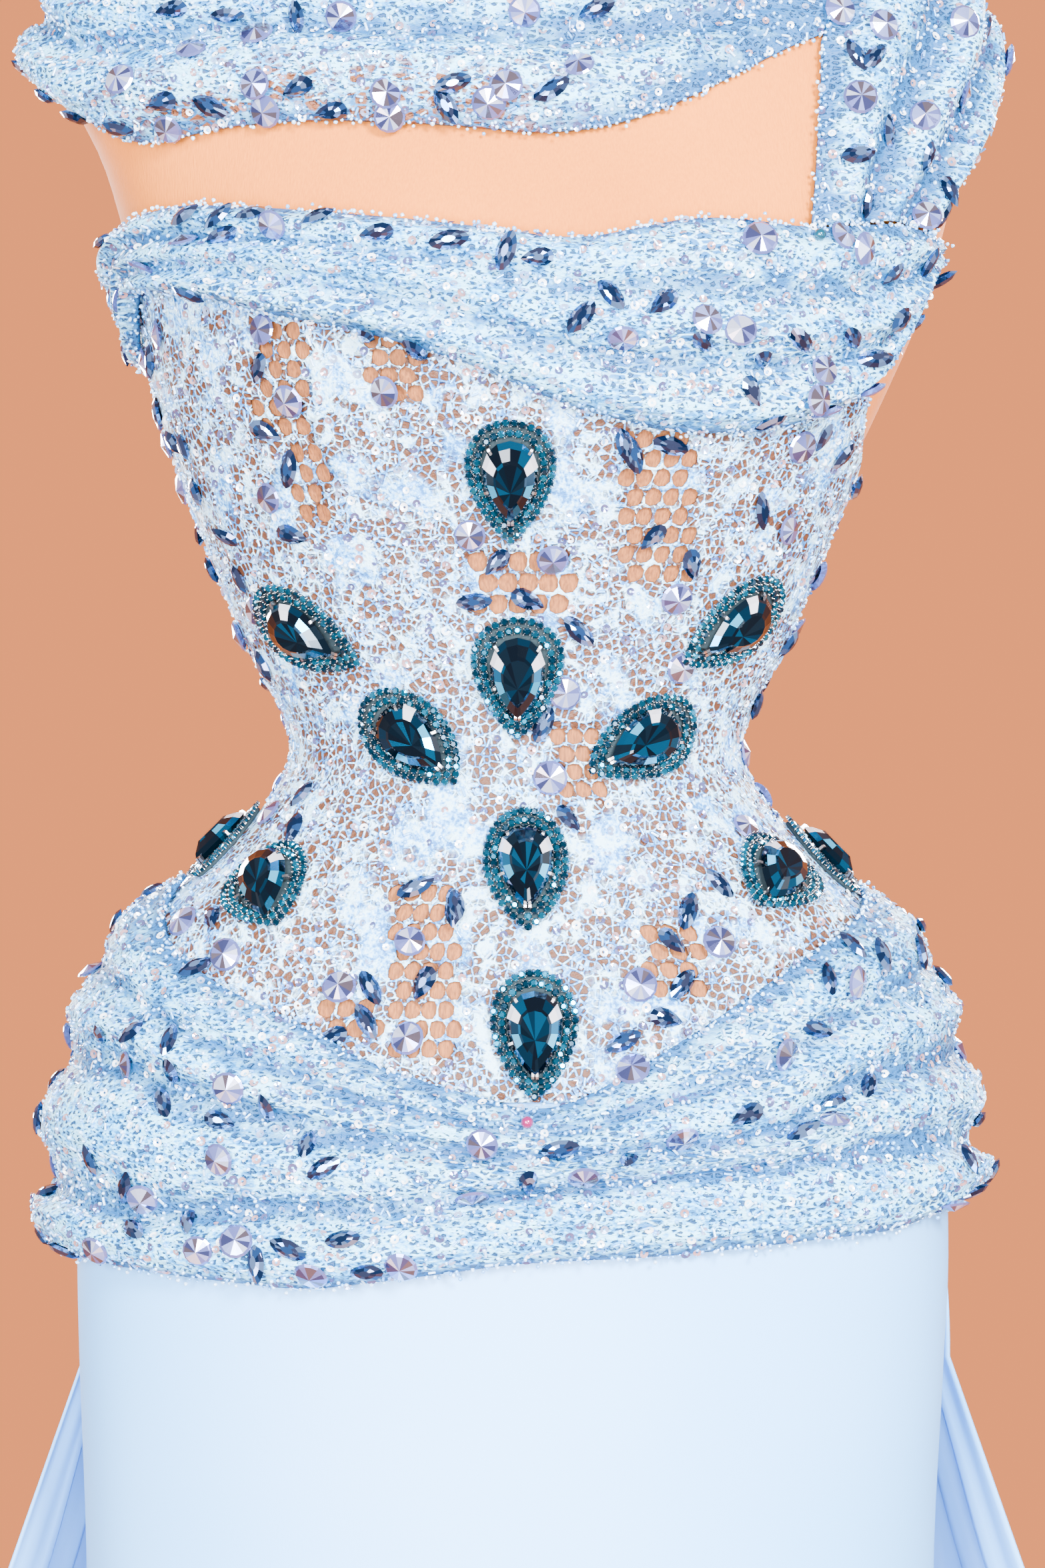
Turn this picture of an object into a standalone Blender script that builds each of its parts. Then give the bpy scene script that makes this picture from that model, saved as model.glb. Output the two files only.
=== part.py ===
# Evening dress on a limbless dress form. Metres, floor at height 0, front toward -Y, +X at the viewer's right.
import math
import bpy
import bmesh
import numpy as np
from mathutils import Vector
from mathutils.geometry import delaunay_2d_cdt

MM = 0.001
DEG = math.pi / 180

# The picture's measures: pixels to millimetres at the form's outline, and where the eye is.
PICTURE_STEP = 0.27
PICTURE_MIDDLE = 775
EYE_ROW = 1176
EYE_HEIGHT = 1048
EYE_AWAY = 1780

# Height, half width at right and left, depth in front and behind, squareness of the section (mm).
FORM_ROWS = (
    (1490, 57, 57, 50, 52, 2.0),
    (1450, 59, 59, 51, 55, 2.0),
    (1430, 66, 66, 54, 61, 2.0),
    (1414, 88, 88, 57, 68, 2.0),
    (1401, 118, 118, 61, 75, 2.0),
    (1388, 150, 150, 67, 82, 2.0),
    (1372, 173, 173, 75, 88, 2.1),
    (1352, 183, 184, 82, 93, 2.2),
    (1330, 184, 182, 88, 96, 2.2),
    (1298, 179, 167, 96, 96, 2.2),
    (1265, 171, 157, 104, 94, 2.2),
    (1237, 163, 148, 107, 93, 2.2),
    (1205, 149, 142, 104, 91, 2.2),
    (1171, 133, 131, 96, 87, 2.2),
    (1136, 118, 118, 86, 82, 2.2),
    (1103, 104, 104, 78, 79, 2.1),
    (1079, 91, 91, 73, 78, 2.1),
    (1060, 87, 87, 72, 78, 2.1),
    (1039, 97, 97, 74, 81, 2.1),
    (1014, 121, 121, 80, 89, 2.1),
    (990, 147, 147, 87, 99, 2.1),
    (957, 164, 165, 94, 111, 2.1),
    (909, 171, 173, 99, 121, 2.2),
    (876, 172, 175, 100, 125, 2.2),
    (850, 172, 175, 100, 125, 2.2),
    (800, 165, 166, 96, 119, 2.2),
    (740, 150, 150, 88, 108, 2.1),
    (690, 132, 132, 78, 94, 2.0),
)
# Below the hips the cloth hangs free of the form.
HANGING_ROWS = (
    (812, 170, 174, 101, 127, 2.2),
    (730, 166, 171, 104, 130, 2.2),
    (400, 166, 169, 122, 142, 2.2),
    (200, 169, 171, 137, 151, 2.2),
    (5, 173, 175, 150, 162, 2.2),
)
BUST_APEX = 85
BUST_HEIGHT = 1235
BUST_SPREAD = 58
BUST_RISE = 9

# Layers, measured outward from the form (mm).
LINING_IN = 1.0
LINING_OUT = 2.2
LACE_IN = 2.9
LACE_OUT = 4.1
STONE_RISE = 3.2
JEWEL_ON = 5.05
DRAPE_ON = 5.5
DRAPE_THICK = 1.7
SKIRT_IN = 0.8
SKIRT_OUT = 2.3
TRAIN_ON = 3.1
TRAIN_THICK = 1.5
SEAM = 0.3
FORM_COLUMNS = 32
LAYER_LEVELS = (950, 972, 990, 1005, 1018, 1031, 1044, 1057, 1070, 1085, 1107, 1138, 1170, 1200, 1222, 1244)
HIP_SEAM = 929


def smooth_rows(rows, height):
    # Smooth values of a table of rows at a height; the rows run from high to low.
    heights = [row[0] for row in rows]
    height = min(max(height, heights[-1]), heights[0])
    index = 0
    while index < len(rows) - 2 and height < heights[index + 1]:
        index += 1
    upper = rows[index]
    lower = rows[index + 1]
    above = rows[max(index - 1, 0)]
    below = rows[min(index + 2, len(rows) - 1)]
    gap = upper[0] - lower[0]
    part = (upper[0] - height) / gap
    values = []
    for column in range(1, len(upper)):
        slope_up = (lower[column] - above[column]) / (above[0] - lower[0]) * gap
        slope_down = (below[column] - upper[column]) / (upper[0] - below[0]) * gap
        square = part * part
        cube = square * part
        values.append(
            (2 * cube - 3 * square + 1) * upper[column]
            + (cube - 2 * square + part) * slope_up
            + (3 * square - 2 * cube) * lower[column]
            + (cube - square) * slope_down
        )
    return values


CLOTH_ROWS = tuple(row for row in FORM_ROWS if row[0] >= 850) + HANGING_ROWS


def section_spot(rows, turn, height):
    # A spot of the section at a height; turn is 0 in front and 90 degrees at the right side.
    right, left, front, back, square = smooth_rows(rows, height)
    across = math.sin(turn)
    along = math.cos(turn)
    reach = (abs(across) ** square + abs(along) ** square) ** (-1 / square)
    wide = right if across >= 0 else left
    deep = front if along >= 0 else back
    x = wide * reach * across
    y = -deep * reach * along
    if along > 0:
        spread = (max(abs(x) - BUST_APEX, 0) / BUST_SPREAD) ** 2 + ((height - BUST_HEIGHT) / BUST_SPREAD) ** 2
        y -= BUST_RISE * math.exp(-spread) * along
    return Vector((x, y, height))


def spot(rows, turn, height, out):
    # The same spot moved outward, square to the surface.
    step = 0.01
    across = section_spot(rows, turn + step, height) - section_spot(rows, turn - step, height)
    top = rows[0][0] - 1
    low = rows[-1][0] + 1
    near = min(max(height, low), top)
    up = section_spot(rows, turn, near + 1) - section_spot(rows, turn, near - 1)
    return section_spot(rows, turn, height) + across.cross(up).normalized() * out


def form_spot(turn, height, out=0.0):
    return spot(FORM_ROWS, turn, height, out)


def cloth_spot(turn, height, out=0.0):
    return spot(CLOTH_ROWS, turn, height, out)


def seen(px, py):
    # Turn and height on the dressed front for a spot of the picture.
    layer = 5
    depth = 0.0
    for _ in range(14):
        scale = PICTURE_STEP * (EYE_AWAY + depth) / EYE_AWAY
        x = (px - PICTURE_MIDDLE) * scale
        height = EYE_HEIGHT - (py - EYE_ROW) * scale
        right, left, front, back, square = smooth_rows(FORM_ROWS, height)
        wide = (right if x >= 0 else left) + layer
        share = min(abs(x) / wide, 0.995)
        depth = -(front + layer) * (1 - share ** square) ** (1 / square)
    turn = math.atan2(math.copysign(share, x), -depth / (front + layer))
    return turn, height


def line_round(front_spots, back_spots):
    # A height for every turn: picture spots in front, turns in degrees and heights behind.
    knots = [seen(px, py) for px, py in front_spots]
    knots += [(turn * DEG, height) for turn, height in back_spots]
    knots = sorted(((turn + math.pi) % (2 * math.pi) - math.pi, height) for turn, height in knots)
    turns = [knot[0] for knot in knots]
    heights = [knot[1] for knot in knots]
    turns = [turns[-1] - 2 * math.pi] + turns + [turns[0] + 2 * math.pi]
    heights = [heights[-1]] + heights + [heights[0]]

    def height_at(turn):
        turn = (turn + math.pi) % (2 * math.pi) - math.pi
        return float(np.interp(turn, turns, heights))

    return height_at


def make_material(name, colour, roughness, metallic=0.0):
    material = bpy.data.materials.new(name)
    material.use_nodes = True
    shader = material.node_tree.nodes["Principled BSDF"]
    shader.inputs["Base Color"].default_value = (*colour, 1.0)
    shader.inputs["Roughness"].default_value = roughness
    shader.inputs["Metallic"].default_value = metallic
    return material


def add_solid(name, points, faces, colour, roughness=0.6, metallic=0.0):
    # One named solid from points in millimetres.
    mesh = bpy.data.meshes.new(name)
    mesh.from_pydata([tuple(point * MM) for point in points], [], faces)
    work = bmesh.new()
    work.from_mesh(mesh)
    bmesh.ops.recalc_face_normals(work, faces=work.faces)
    work.to_mesh(mesh)
    work.free()
    mesh.materials.append(make_material(name + "_material", colour, roughness, metallic))
    solid = bpy.data.objects.new(name, mesh)
    garment.objects.link(solid)
    return solid


def closed_wall(outer, inner, faces):
    # Points and faces of a wall between two layers, with its rims closed.
    count = len(outer)
    edges = {}
    for face in faces:
        for start, end in zip(face, face[1:] + face[:1]):
            edges[(start, end)] = True
    walls = [tuple(face) for face in faces]
    walls += [tuple(corner + count for corner in reversed(face)) for face in faces]
    for start, end in edges:
        if (end, start) not in edges:
            walls.append((end, start, start + count, end + count))
    return list(outer) + list(inner), walls


def grid_faces(rows, columns, ring=False):
    # Faces of a grid whose rows run downward and whose columns run to the right.
    faces = []
    last = columns if ring else columns - 1
    for row in range(rows - 1):
        for column in range(last):
            beside = (column + 1) % columns
            faces.append((
                row * columns + column,
                (row + 1) * columns + column,
                (row + 1) * columns + beside,
                row * columns + beside,
            ))
    return faces


def inside(polygon, x, y):
    # Whether a spot lies inside a polygon.
    result = False
    for (ax, ay), (bx, by) in zip(polygon, polygon[1:] + polygon[:1]):
        if (ay > y) != (by > y) and x < (bx - ax) * (y - ay) / (by - ay) + ax:
            result = not result
    return result


def edge_distance(polygon, x, y):
    # The distance from a spot to a polygon's outline.
    nearest = 1e9
    for (ax, ay), (bx, by) in zip(polygon, polygon[1:] + polygon[:1]):
        length = (bx - ax) ** 2 + (by - ay) ** 2
        part = min(max(((x - ax) * (bx - ax) + (y - ay) * (by - ay)) / length, 0), 1)
        nearest = min(nearest, math.hypot(ax + part * (bx - ax) - x, ay + part * (by - ay) - y))
    return nearest


# The bodice's top edge under the bust drape, then low at the right side and across the back.
BODICE_TOP = line_round(
    ((240, 332), (290, 322), (700, 365), (870, 388), (1000, 362), (1100, 356), (1215, 366)),
    ((57, 1250), (60, 1222), (64, 1198), (72, 1184), (82, 1174), (96, 1160), (120, 1152), (180, 1156), (-150, 1172),
     (-120, 1205), (-100, 1238), (-84, 1252)),
)
BUST_TOP = line_round(
    ((225, 320), (280, 310), (500, 330), (700, 350), (870, 372), (1000, 345), (1060, 335), (1215, 350)),
    ((55, 1267), (70, 1263), (-84, 1265), (-115, 1250)),
)
BUST_LOW = line_round(
    ((210, 430), (300, 440), (400, 470), (560, 500), (700, 540), (850, 600), (1000, 640), (1130, 640), (1225, 618)),
    ((58, 1203), (62, 1220), (66, 1240), (70, 1256), (-78, 1228), (-92, 1216), (-115, 1222)),
)
HIP_TOP = line_round(
    ((225, 1320), (260, 1430), (350, 1495), (465, 1545), (555, 1600), (725, 1650), (800, 1672), (859, 1660),
     (984, 1590), (1109, 1510), (1209, 1440), (1284, 1390), (1334, 1340)),
    ((88, 998), (100, 991), (130, 980), (180, 960), (-130, 982), (-100, 997), (-88, 1003)),
)

# The twelve jewels: middle and tip direction in the picture; the last two are placed by turn and height.
JEWEL_SPOTS = (
    (766, 715, 766, 815), (777, 1014, 777, 1110), (790, 1308, 790, 1400), (803, 1556, 803, 1650),
    (455, 942, 540, 997), (1105, 932, 1029, 997), (621, 1111, 695, 1187), (964, 1113, 868, 1170),
    (395, 1341, 463, 1420), (1172, 1325, 1093, 1387),
)
SIDE_JEWELS = ((-84, 1020, 40), (84, 1014, -40))


def jewel_places():
    # Turn, height and lean of every jewel.
    places = []
    for px, py, tip_x, tip_y in JEWEL_SPOTS:
        turn, height = seen(px, py)
        places.append((turn, height, math.atan2(tip_x - px, tip_y - py)))
    for turn, height, lean in SIDE_JEWELS:
        places.append((turn * DEG, height, lean * DEG))
    return places


JEWEL_PLACES = jewel_places()


def stone_fits(turn, height, index):
    # Whether a raised stone may stand here: one in three spots, clear of drapes, seams and jewels.
    if index % 3 != 1:
        return False
    if height > min(BUST_LOW(turn), BODICE_TOP(turn)) - 12 or height < HIP_TOP(turn) + 12:
        return False
    if abs(math.cos(turn)) < 0.1:
        return False
    here = form_spot(turn, height)
    return all((form_spot(place[0], place[1]) - here).length > 42 for place in JEWEL_PLACES)


# Turns where the bodice's top edge drops steeply and takes one more column.
EDGE_DROPS = (59 * DEG, 63 * DEG)
# Flat layout of the bodice: turns become millimetres by this many per radian.
FLAT_STEP = 130


def bodice_panel(name, turn_from, turn_to, top_line, base, inner, outer, holes, colour, stones=False):
    # A panel between two turns, from a level base line to a top line, with holes cut through.
    side = 360 / FORM_COLUMNS * DEG
    columns = [turn_from] + [
        index * side for index in range(-FORM_COLUMNS, FORM_COLUMNS * 2)
        if turn_from + side * 0.3 < index * side < turn_to - side * 0.3
    ] + [turn_to]
    columns = sorted(columns + [turn for turn in EDGE_DROPS if turn_from < turn < turn_to])
    side_levels = LAYER_LEVELS
    outline = [(turn * FLAT_STEP, base) for turn in columns]
    outline += [(turn_to * FLAT_STEP, level) for level in side_levels if level < top_line(turn_to) - 8]
    outline += [(turn * FLAT_STEP, top_line(turn)) for turn in reversed(columns)]
    left_levels = [level for level in side_levels if level < top_line(turn_from) - 8]
    outline += [(turn_from * FLAT_STEP, level) for level in reversed(left_levels)]
    flat = list(outline)
    loops = [list(range(len(outline)))]
    kept_holes = [hole for hole in holes if min(edge_distance(outline, x, y) for x, y in hole) > 2.5]
    kept_holes = [hole for hole in kept_holes if inside(outline, *hole[0])]
    for hole in kept_holes:
        loops.append(list(range(len(flat), len(flat) + len(hole))))
        flat += hole
    centres = [tuple(sum(axis) / len(hole) for axis in zip(*hole)) for hole in kept_holes]
    for turn in columns[1:-1]:
        for level in LAYER_LEVELS:
            x = turn * FLAT_STEP
            if not inside(outline, x, level) or edge_distance(outline, x, level) < 5:
                continue
            if centres and min(math.hypot(x - cx, level - cy) for cx, cy in centres) < 6.5:
                continue
            flat.append((x, level))
    edges = []
    for loop in loops:
        edges += list(zip(loop, loop[1:] + loop[:1]))
    result = delaunay_2d_cdt([Vector(pair) for pair in flat], edges, [], 0, 1e-5)
    spots = result[0]
    faces = []
    for face in result[2]:
        x = sum(spots[corner][0] for corner in face) / len(face)
        y = sum(spots[corner][1] for corner in face) / len(face)
        if not inside(outline, x, y):
            continue
        if any(inside(hole, x, y) for hole in kept_holes):
            continue
        faces.append(tuple(face))
    outer_points = []
    inner_points = []
    for index, (x, level) in enumerate(spots):
        raised = STONE_RISE if stones and stone_fits(x / FLAT_STEP, level, index) else 0.0
        if centres and min(math.hypot(x - cx, level - cy) for cx, cy in centres) < 9:
            raised = 0.0
        outer_points.append(form_spot(x / FLAT_STEP, level, outer + raised))
        inner_points.append(form_spot(x / FLAT_STEP, level, inner))
    points, walls = closed_wall(outer_points, inner_points, faces)
    return add_solid(name, points, walls, colour, 0.7)


def net_patch(left, top, right, bottom, across, down):
    # Four-sided holes of an open net patch, brick-laid, from its box in the picture.
    holes = []
    for row in range(down):
        for column in range(across):
            shift = 0.5 if row % 2 else 0.0
            if column + shift > across - 0.5:
                continue
            px = left + (column + 0.5 + shift) * (right - left) / across
            py = top + (row + 0.5) * (bottom - top) / down
            turn, height = seen(px, py)
            wide = (section_spot(FORM_ROWS, turn + 0.01, height) - section_spot(FORM_ROWS, turn, height)).length
            half_width = 2.6 / (wide / 0.01) * FLAT_STEP
            half_height = 2.7
            lean = 0.35 * math.sin(row * 2.1 + column * 1.3)
            x = turn * FLAT_STEP
            holes.append([
                (x - half_width * (1 - lean * 0.3), height - half_height * 0.85),
                (x + half_width, height - half_height),
                (x + half_width * (1 - lean * 0.2), height + half_height * 0.9),
                (x - half_width, height + half_height),
            ])
    return holes


# Open net patches: left, top, right, bottom in the picture, holes across and down.
NET_PATCHES = (
    (368, 482, 450, 650, 3, 6),
    (428, 660, 480, 780, 2, 4),
    (540, 496, 622, 600, 3, 4),
    (930, 640, 1040, 870, 4, 8),
    (700, 822, 856, 918, 5, 3),
    (826, 1090, 904, 1200, 3, 4),
    (578, 1330, 680, 1590, 4, 9),
    (470, 1500, 560, 1560, 3, 2),
    (964, 1390, 1054, 1500, 3, 4),
)
# The same patches on the back: turn in degrees and height of the middle, holes across and down.
BACK_PATCHES = ((150, 1110, 3, 3), (-145, 1060, 3, 3), (175, 1010, 3, 3))


def back_patch(turn, height, across, down):
    holes = []
    for row in range(down):
        for column in range(across):
            x = turn * DEG * FLAT_STEP + (column - (across - 1) / 2 + (0.5 if row % 2 else 0)) * 10
            y = height + (row - (down - 1) / 2) * 7.6
            holes.append([(x - 3.3, y - 2.6), (x + 3.3, y - 2.6), (x + 3.1, y + 2.6), (x - 3.3, y + 2.6)])
    return holes


def drape(name, columns, lines, lifts, rows, on, colour, ring=False, fade=None):
    # A folded wall; each line is a fold's course and each lift how far that fold stands out.
    outer = []
    inner = []
    for line, lift in zip(lines, lifts):
        for turn in columns:
            rise = lift * (1.0 if fade is None else fade(turn))
            height = line(turn)
            start = on(turn, height) + rise
            inner.append(spot(rows, turn, height, start))
            outer.append(spot(rows, turn, height, start + DRAPE_THICK))
    faces = grid_faces(len(lines), len(columns), ring)
    points, walls = closed_wall(outer, inner, faces)
    return add_solid(name, points, walls, colour, 0.7)


def between(first, second, share):
    # A course part way between two courses.
    return lambda turn: first(turn) * (1 - share) + second(turn) * share


LACE_BLUE = (0.62, 0.76, 0.90)
DRAPE_BLUE = (0.50, 0.68, 0.88)
SATIN_BLUE = (0.74, 0.83, 0.95)
NUDE = (0.72, 0.42, 0.24)
JERSEY = (0.93, 0.68, 0.47)


def form_torso():
    levels = (
        690, 740, 800, 860, 909, 950, 972, 990, 1005, 1018, 1031, 1044, 1057, 1070, 1085, 1107, 1138, 1170,
        1200, 1222, 1244, 1270, 1300, 1335, 1360, 1378, 1392, 1403, 1415, 1431, 1489,
    )
    points = []
    for level in reversed(levels):
        for column in range(FORM_COLUMNS):
            points.append(section_spot(FORM_ROWS, column * 360 / FORM_COLUMNS * DEG, level))
    faces = grid_faces(len(levels), FORM_COLUMNS, True)
    faces.append(tuple(reversed(range(FORM_COLUMNS))))
    last = (len(levels) - 1) * FORM_COLUMNS
    faces.append(tuple(range(last, last + FORM_COLUMNS)))
    return add_solid("form_torso", points, faces, JERSEY, 0.9)


def turned(name, profile, colour, roughness, metallic, sides=24, deep=1.0):
    # A round solid from rows of radius and height, low to high.
    points = []
    for radius, height in profile:
        for side in range(sides):
            angle = side * 2 * math.pi / sides
            points.append(Vector((radius * math.sin(angle), -radius * deep * math.cos(angle), height)))
    faces = []
    for row in range(len(profile) - 1):
        for side in range(sides):
            beside = (side + 1) % sides
            faces.append((
                row * sides + side, row * sides + beside, (row + 1) * sides + beside, (row + 1) * sides + side,
            ))
    faces.append(tuple(reversed(range(sides))))
    last = (len(profile) - 1) * sides
    faces.append(tuple(range(last, last + sides)))
    return add_solid(name, points, faces, colour, roughness, metallic)


def form_stand():
    turned("form_neck_cap", ((56, 1489.3), (56, 1498), (34, 1510), (12, 1516), (10, 1534)), (0.55, 0.36, 0.20), 0.5, 0.0, 16)
    turned("form_pole", ((16, 12.3), (16, 689.7)), (0.7, 0.7, 0.72), 0.25, 1.0, 12)
    turned("form_base", ((124, 0), (124, 8), (116, 12)), (0.7, 0.7, 0.72), 0.3, 1.0, 24)


def lining_and_lace():
    left = -90 * DEG
    right = 90 * DEG
    gap = SEAM / 2 / 90
    round_again = 2 * math.pi
    for name, inner, outer, colour in (("lining", LINING_IN, LINING_OUT, NUDE), ("lace", LACE_IN, LACE_OUT, LACE_BLUE)):
        front_holes = []
        back_holes = []
        if name == "lace":
            for patch in NET_PATCHES:
                front_holes += net_patch(*patch)
            for turn, height, across, down in BACK_PATCHES:
                back_holes += back_patch(turn if turn > 0 else turn + 360, height, across, down)
        base = HIP_SEAM if name == "lining" else HIP_SEAM - 3
        stones = name == "lace"
        bodice_panel(name + "_front", left + gap, right - gap, BODICE_TOP, base, inner, outer, front_holes, colour,
                     stones)
        bodice_panel(name + "_back", right + gap, left + round_again - gap, BODICE_TOP, base, inner, outer,
                     back_holes, colour, stones)


def degrees(start, end, count):
    return [(start + (end - start) * index / (count - 1)) * DEG for index in range(count)]


def bust_drape():
    shares = (0.0, 0.14, 0.32, 0.5, 0.66, 0.86, 1.0)
    lifts = (0.6, 6.0, 2.0, 7.0, 2.4, 6.4, 0.6)
    lines = [between(BUST_TOP, BUST_LOW, share) for share in shares]

    def fade(turn):
        right_end = min(max((74 - turn / DEG) / 16, 0.25), 1)
        return (0.75 + 0.35 * math.sin((turn / DEG + 100) * DEG * 0.9)) * right_end

    return drape("bust_drape", degrees(-112, 70, 25), lines, lifts, FORM_ROWS, lambda turn, height: DRAPE_ON,
                 DRAPE_BLUE, fade=fade)


# The strap over the right shoulder: turn and height of its inner edge, then of its outer edge.
STRAP_ROWS = (
    (39.5, 1268, 66, 1264.5),
    (38.5, 1300, 75, 1292),
    (38.0, 1335, 87, 1321),
    (42.0, 1367, 96, 1336),
    (60.0, 1389, 99, 1346),
    (90.0, 1401, 102, 1350),
    (120.0, 1391, 106, 1346),
    (138.0, 1367, 110, 1336),
    (143.0, 1335, 113, 1318),
    (145.0, 1300, 115, 1290),
    (147.0, 1250, 117, 1242),
    (148.0, 1205, 118, 1198),
    (149.0, 1158, 119, 1155.5),
)
STRAP_ACROSS = 7
STRAP_ON = 3.4


def shoulder_strap():
    steps = []
    for row, below in zip(STRAP_ROWS, STRAP_ROWS[1:]):
        steps.append(row)
        if row[1] > 1360 or below[1] > 1360:
            steps.append(tuple((a + b) / 2 for a, b in zip(row, below)))
    steps.append(STRAP_ROWS[-1])
    outer = []
    inner = []
    for index, (turn_in, height_in, turn_out, height_out) in enumerate(steps):
        for column in range(STRAP_ACROSS):
            share = column / (STRAP_ACROSS - 1)
            turn = (turn_in * (1 - share) + turn_out * share) * DEG
            height = height_in * (1 - share) + height_out * share
            flute = 6.5 * math.sin(share * math.pi * 3) ** 2 * (1 if index else 0.6)
            if index == 0:
                height = BUST_TOP(turn) + 4 * SEAM
            if index == len(steps) - 1:
                height = BODICE_TOP(turn) + 5 * SEAM
            lift = STRAP_ON + flute
            inner.append(form_spot(turn, height, lift))
            outer.append(form_spot(turn, height, lift + DRAPE_THICK))
    faces = grid_faces(len(steps), STRAP_ACROSS)
    faces = [tuple(reversed(face)) for face in faces]
    points, walls = closed_wall(outer, inner, faces)
    return add_solid("shoulder_strap", points, walls, DRAPE_BLUE, 0.7)


UPPER_LOW = line_round(
    ((190, 212), (230, 215), (350, 190), (480, 183), (640, 190), (830, 207), (900, 195), (960, 185), (1100, 120),
     (1200, 65)),
    ((44, 1345), (-72, 1318), (-84, 1332), (-110, 1330), (-150, 1305), (180, 1296), (155, 1318), (136, 1345)),
)
UPPER_TOP = line_round(
    (),
    ((0, 1391), (30, 1380), (44, 1369), (-40, 1392), (-90, 1392), (-140, 1392), (180, 1390), (155, 1382), (136, 1369)),
)


def upper_drape():
    shares = (0.0, 0.16, 0.32, 0.47, 0.6, 0.74, 0.88, 1.0)
    lifts = (0.4, 8.0, 3.0, 10.5, 3.0, 11.0, 8.0, 1.5)
    lines = [between(UPPER_TOP, UPPER_LOW, share) for share in shares]
    columns = degrees(44, -224, 33)
    columns = list(reversed(columns))

    def fade(turn):
        from_end = min(turn / DEG + 224, 44 - turn / DEG)
        return 0.05 + 0.95 * min(max(from_end - 9, 0) / 40, 1)

    return drape("upper_drape", columns, lines, lifts, FORM_ROWS, lambda turn, height: 0.8, DRAPE_BLUE, fade=fade)


HIP_FOLD_HIGH = line_round(
    ((200, 1600), (430, 1690), (600, 1720), (800, 1740), (1169, 1715), (1234, 1650), (1309, 1615)),
    ((92, 942), (140, 928), (180, 918), (-140, 926), (-92, 938)),
)
HIP_FOLD_LOW = line_round(
    ((120, 1790), (260, 1830), (400, 1815), (545, 1820), (750, 1795), (1200, 1740), (1380, 1712)),
    ((96, 900), (180, 893), (-96, 888)),
)
HIP_LOW = line_round(
    ((115, 1875), (380, 1925), (450, 1935), (620, 1915), (784, 1893), (974, 1885), (1109, 1872), (1209, 1860),
     (1334, 1845), (1429, 1785)),
    ((94, 881), (140, 872), (180, 868), (-140, 864), (-94, 860)),
)


def hip_drape():
    lines = [
        HIP_TOP, between(HIP_TOP, HIP_FOLD_HIGH, 0.3), between(HIP_TOP, HIP_FOLD_HIGH, 0.5),
        between(HIP_TOP, HIP_FOLD_HIGH, 0.75), HIP_FOLD_HIGH, between(HIP_FOLD_HIGH, HIP_FOLD_LOW, 0.45),
        HIP_FOLD_LOW, between(HIP_FOLD_LOW, HIP_LOW, 0.35), between(HIP_FOLD_LOW, HIP_LOW, 0.8), HIP_LOW,
    ]
    lifts = (0.4, 5.0, 2.2, 6.5, 1.6, 8.5, 1.8, 8.5, 6.0, 0.8)

    def on(turn, height):
        behind = max(0.0, -math.cos(turn))
        low = min(max((925 - height) / 20, 0), 1)
        return DRAPE_ON + 2.4 * min(behind * 12, 1) * low

    count = FORM_COLUMNS
    columns = [(-180 + 360 * index / count) * DEG for index in range(count)]
    return drape("hip_drape", columns, lines, lifts, CLOTH_ROWS, on, DRAPE_BLUE, ring=True)


SKIRT_LEVELS = (HIP_SEAM - SEAM, 909, 860, 812, 730, 400, 200, 5)
SKIRT_COLUMNS = 17


def skirt():
    gap = SEAM / 2 / 100
    for name, start, end in (("skirt_front", -90, 90), ("skirt_back", 90, 270)):
        turns = degrees(start, end, SKIRT_COLUMNS)
        turns[0] += gap
        turns[-1] -= gap
        outer = [cloth_spot(turn, level, SKIRT_OUT) for level in SKIRT_LEVELS for turn in turns]
        inner = [cloth_spot(turn, level, SKIRT_IN) for level in SKIRT_LEVELS for turn in turns]
        points, walls = closed_wall(outer, inner, grid_faces(len(SKIRT_LEVELS), SKIRT_COLUMNS))
        add_solid(name, points, walls, SATIN_BLUE, 0.35)


# The train: height, half width, depth behind, where its ends stand in depth, pleat height (mm).
TRAIN_ROWS = (
    (900, 176, 124, 12, 0.2),
    (856, 177, 128, 20, 1.2),
    (812, 175, 118, 32, 3.5),
    (730, 201, 152, 40, 6.5),
    (480, 286, 280, 44, 9.0),
    (240, 366, 429, 48, 10.5),
    (1.5, 442, 610, 52, 12.0),
)
TRAIN_GORES = ("train_right", "train_middle", "train_left")
TRAIN_PLEATS = 15
TRAIN_STEPS = 4


def train_spot(share, row):
    # A spot of the train's middle layer; share runs from 0 at its right end to 1 at its left end.
    height, wide, deep, start, pleat = row
    if height > 820:
        turn = (103 + 154 * share) * DEG
        middle = TRAIN_ON + TRAIN_THICK / 2 + pleat
        wave = pleat * math.cos(share * TRAIN_PLEATS * 2 * math.pi)
        return cloth_spot(turn, height, middle + wave)
    angle = (90 + 180 * share) * DEG
    body = Vector((wide * math.sin(angle), start - deep * math.cos(angle), height))
    away = Vector((math.sin(angle) / wide, -math.cos(angle) / deep, 0.0)).normalized()
    return body + away * pleat * math.cos(share * TRAIN_PLEATS * 2 * math.pi)


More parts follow.
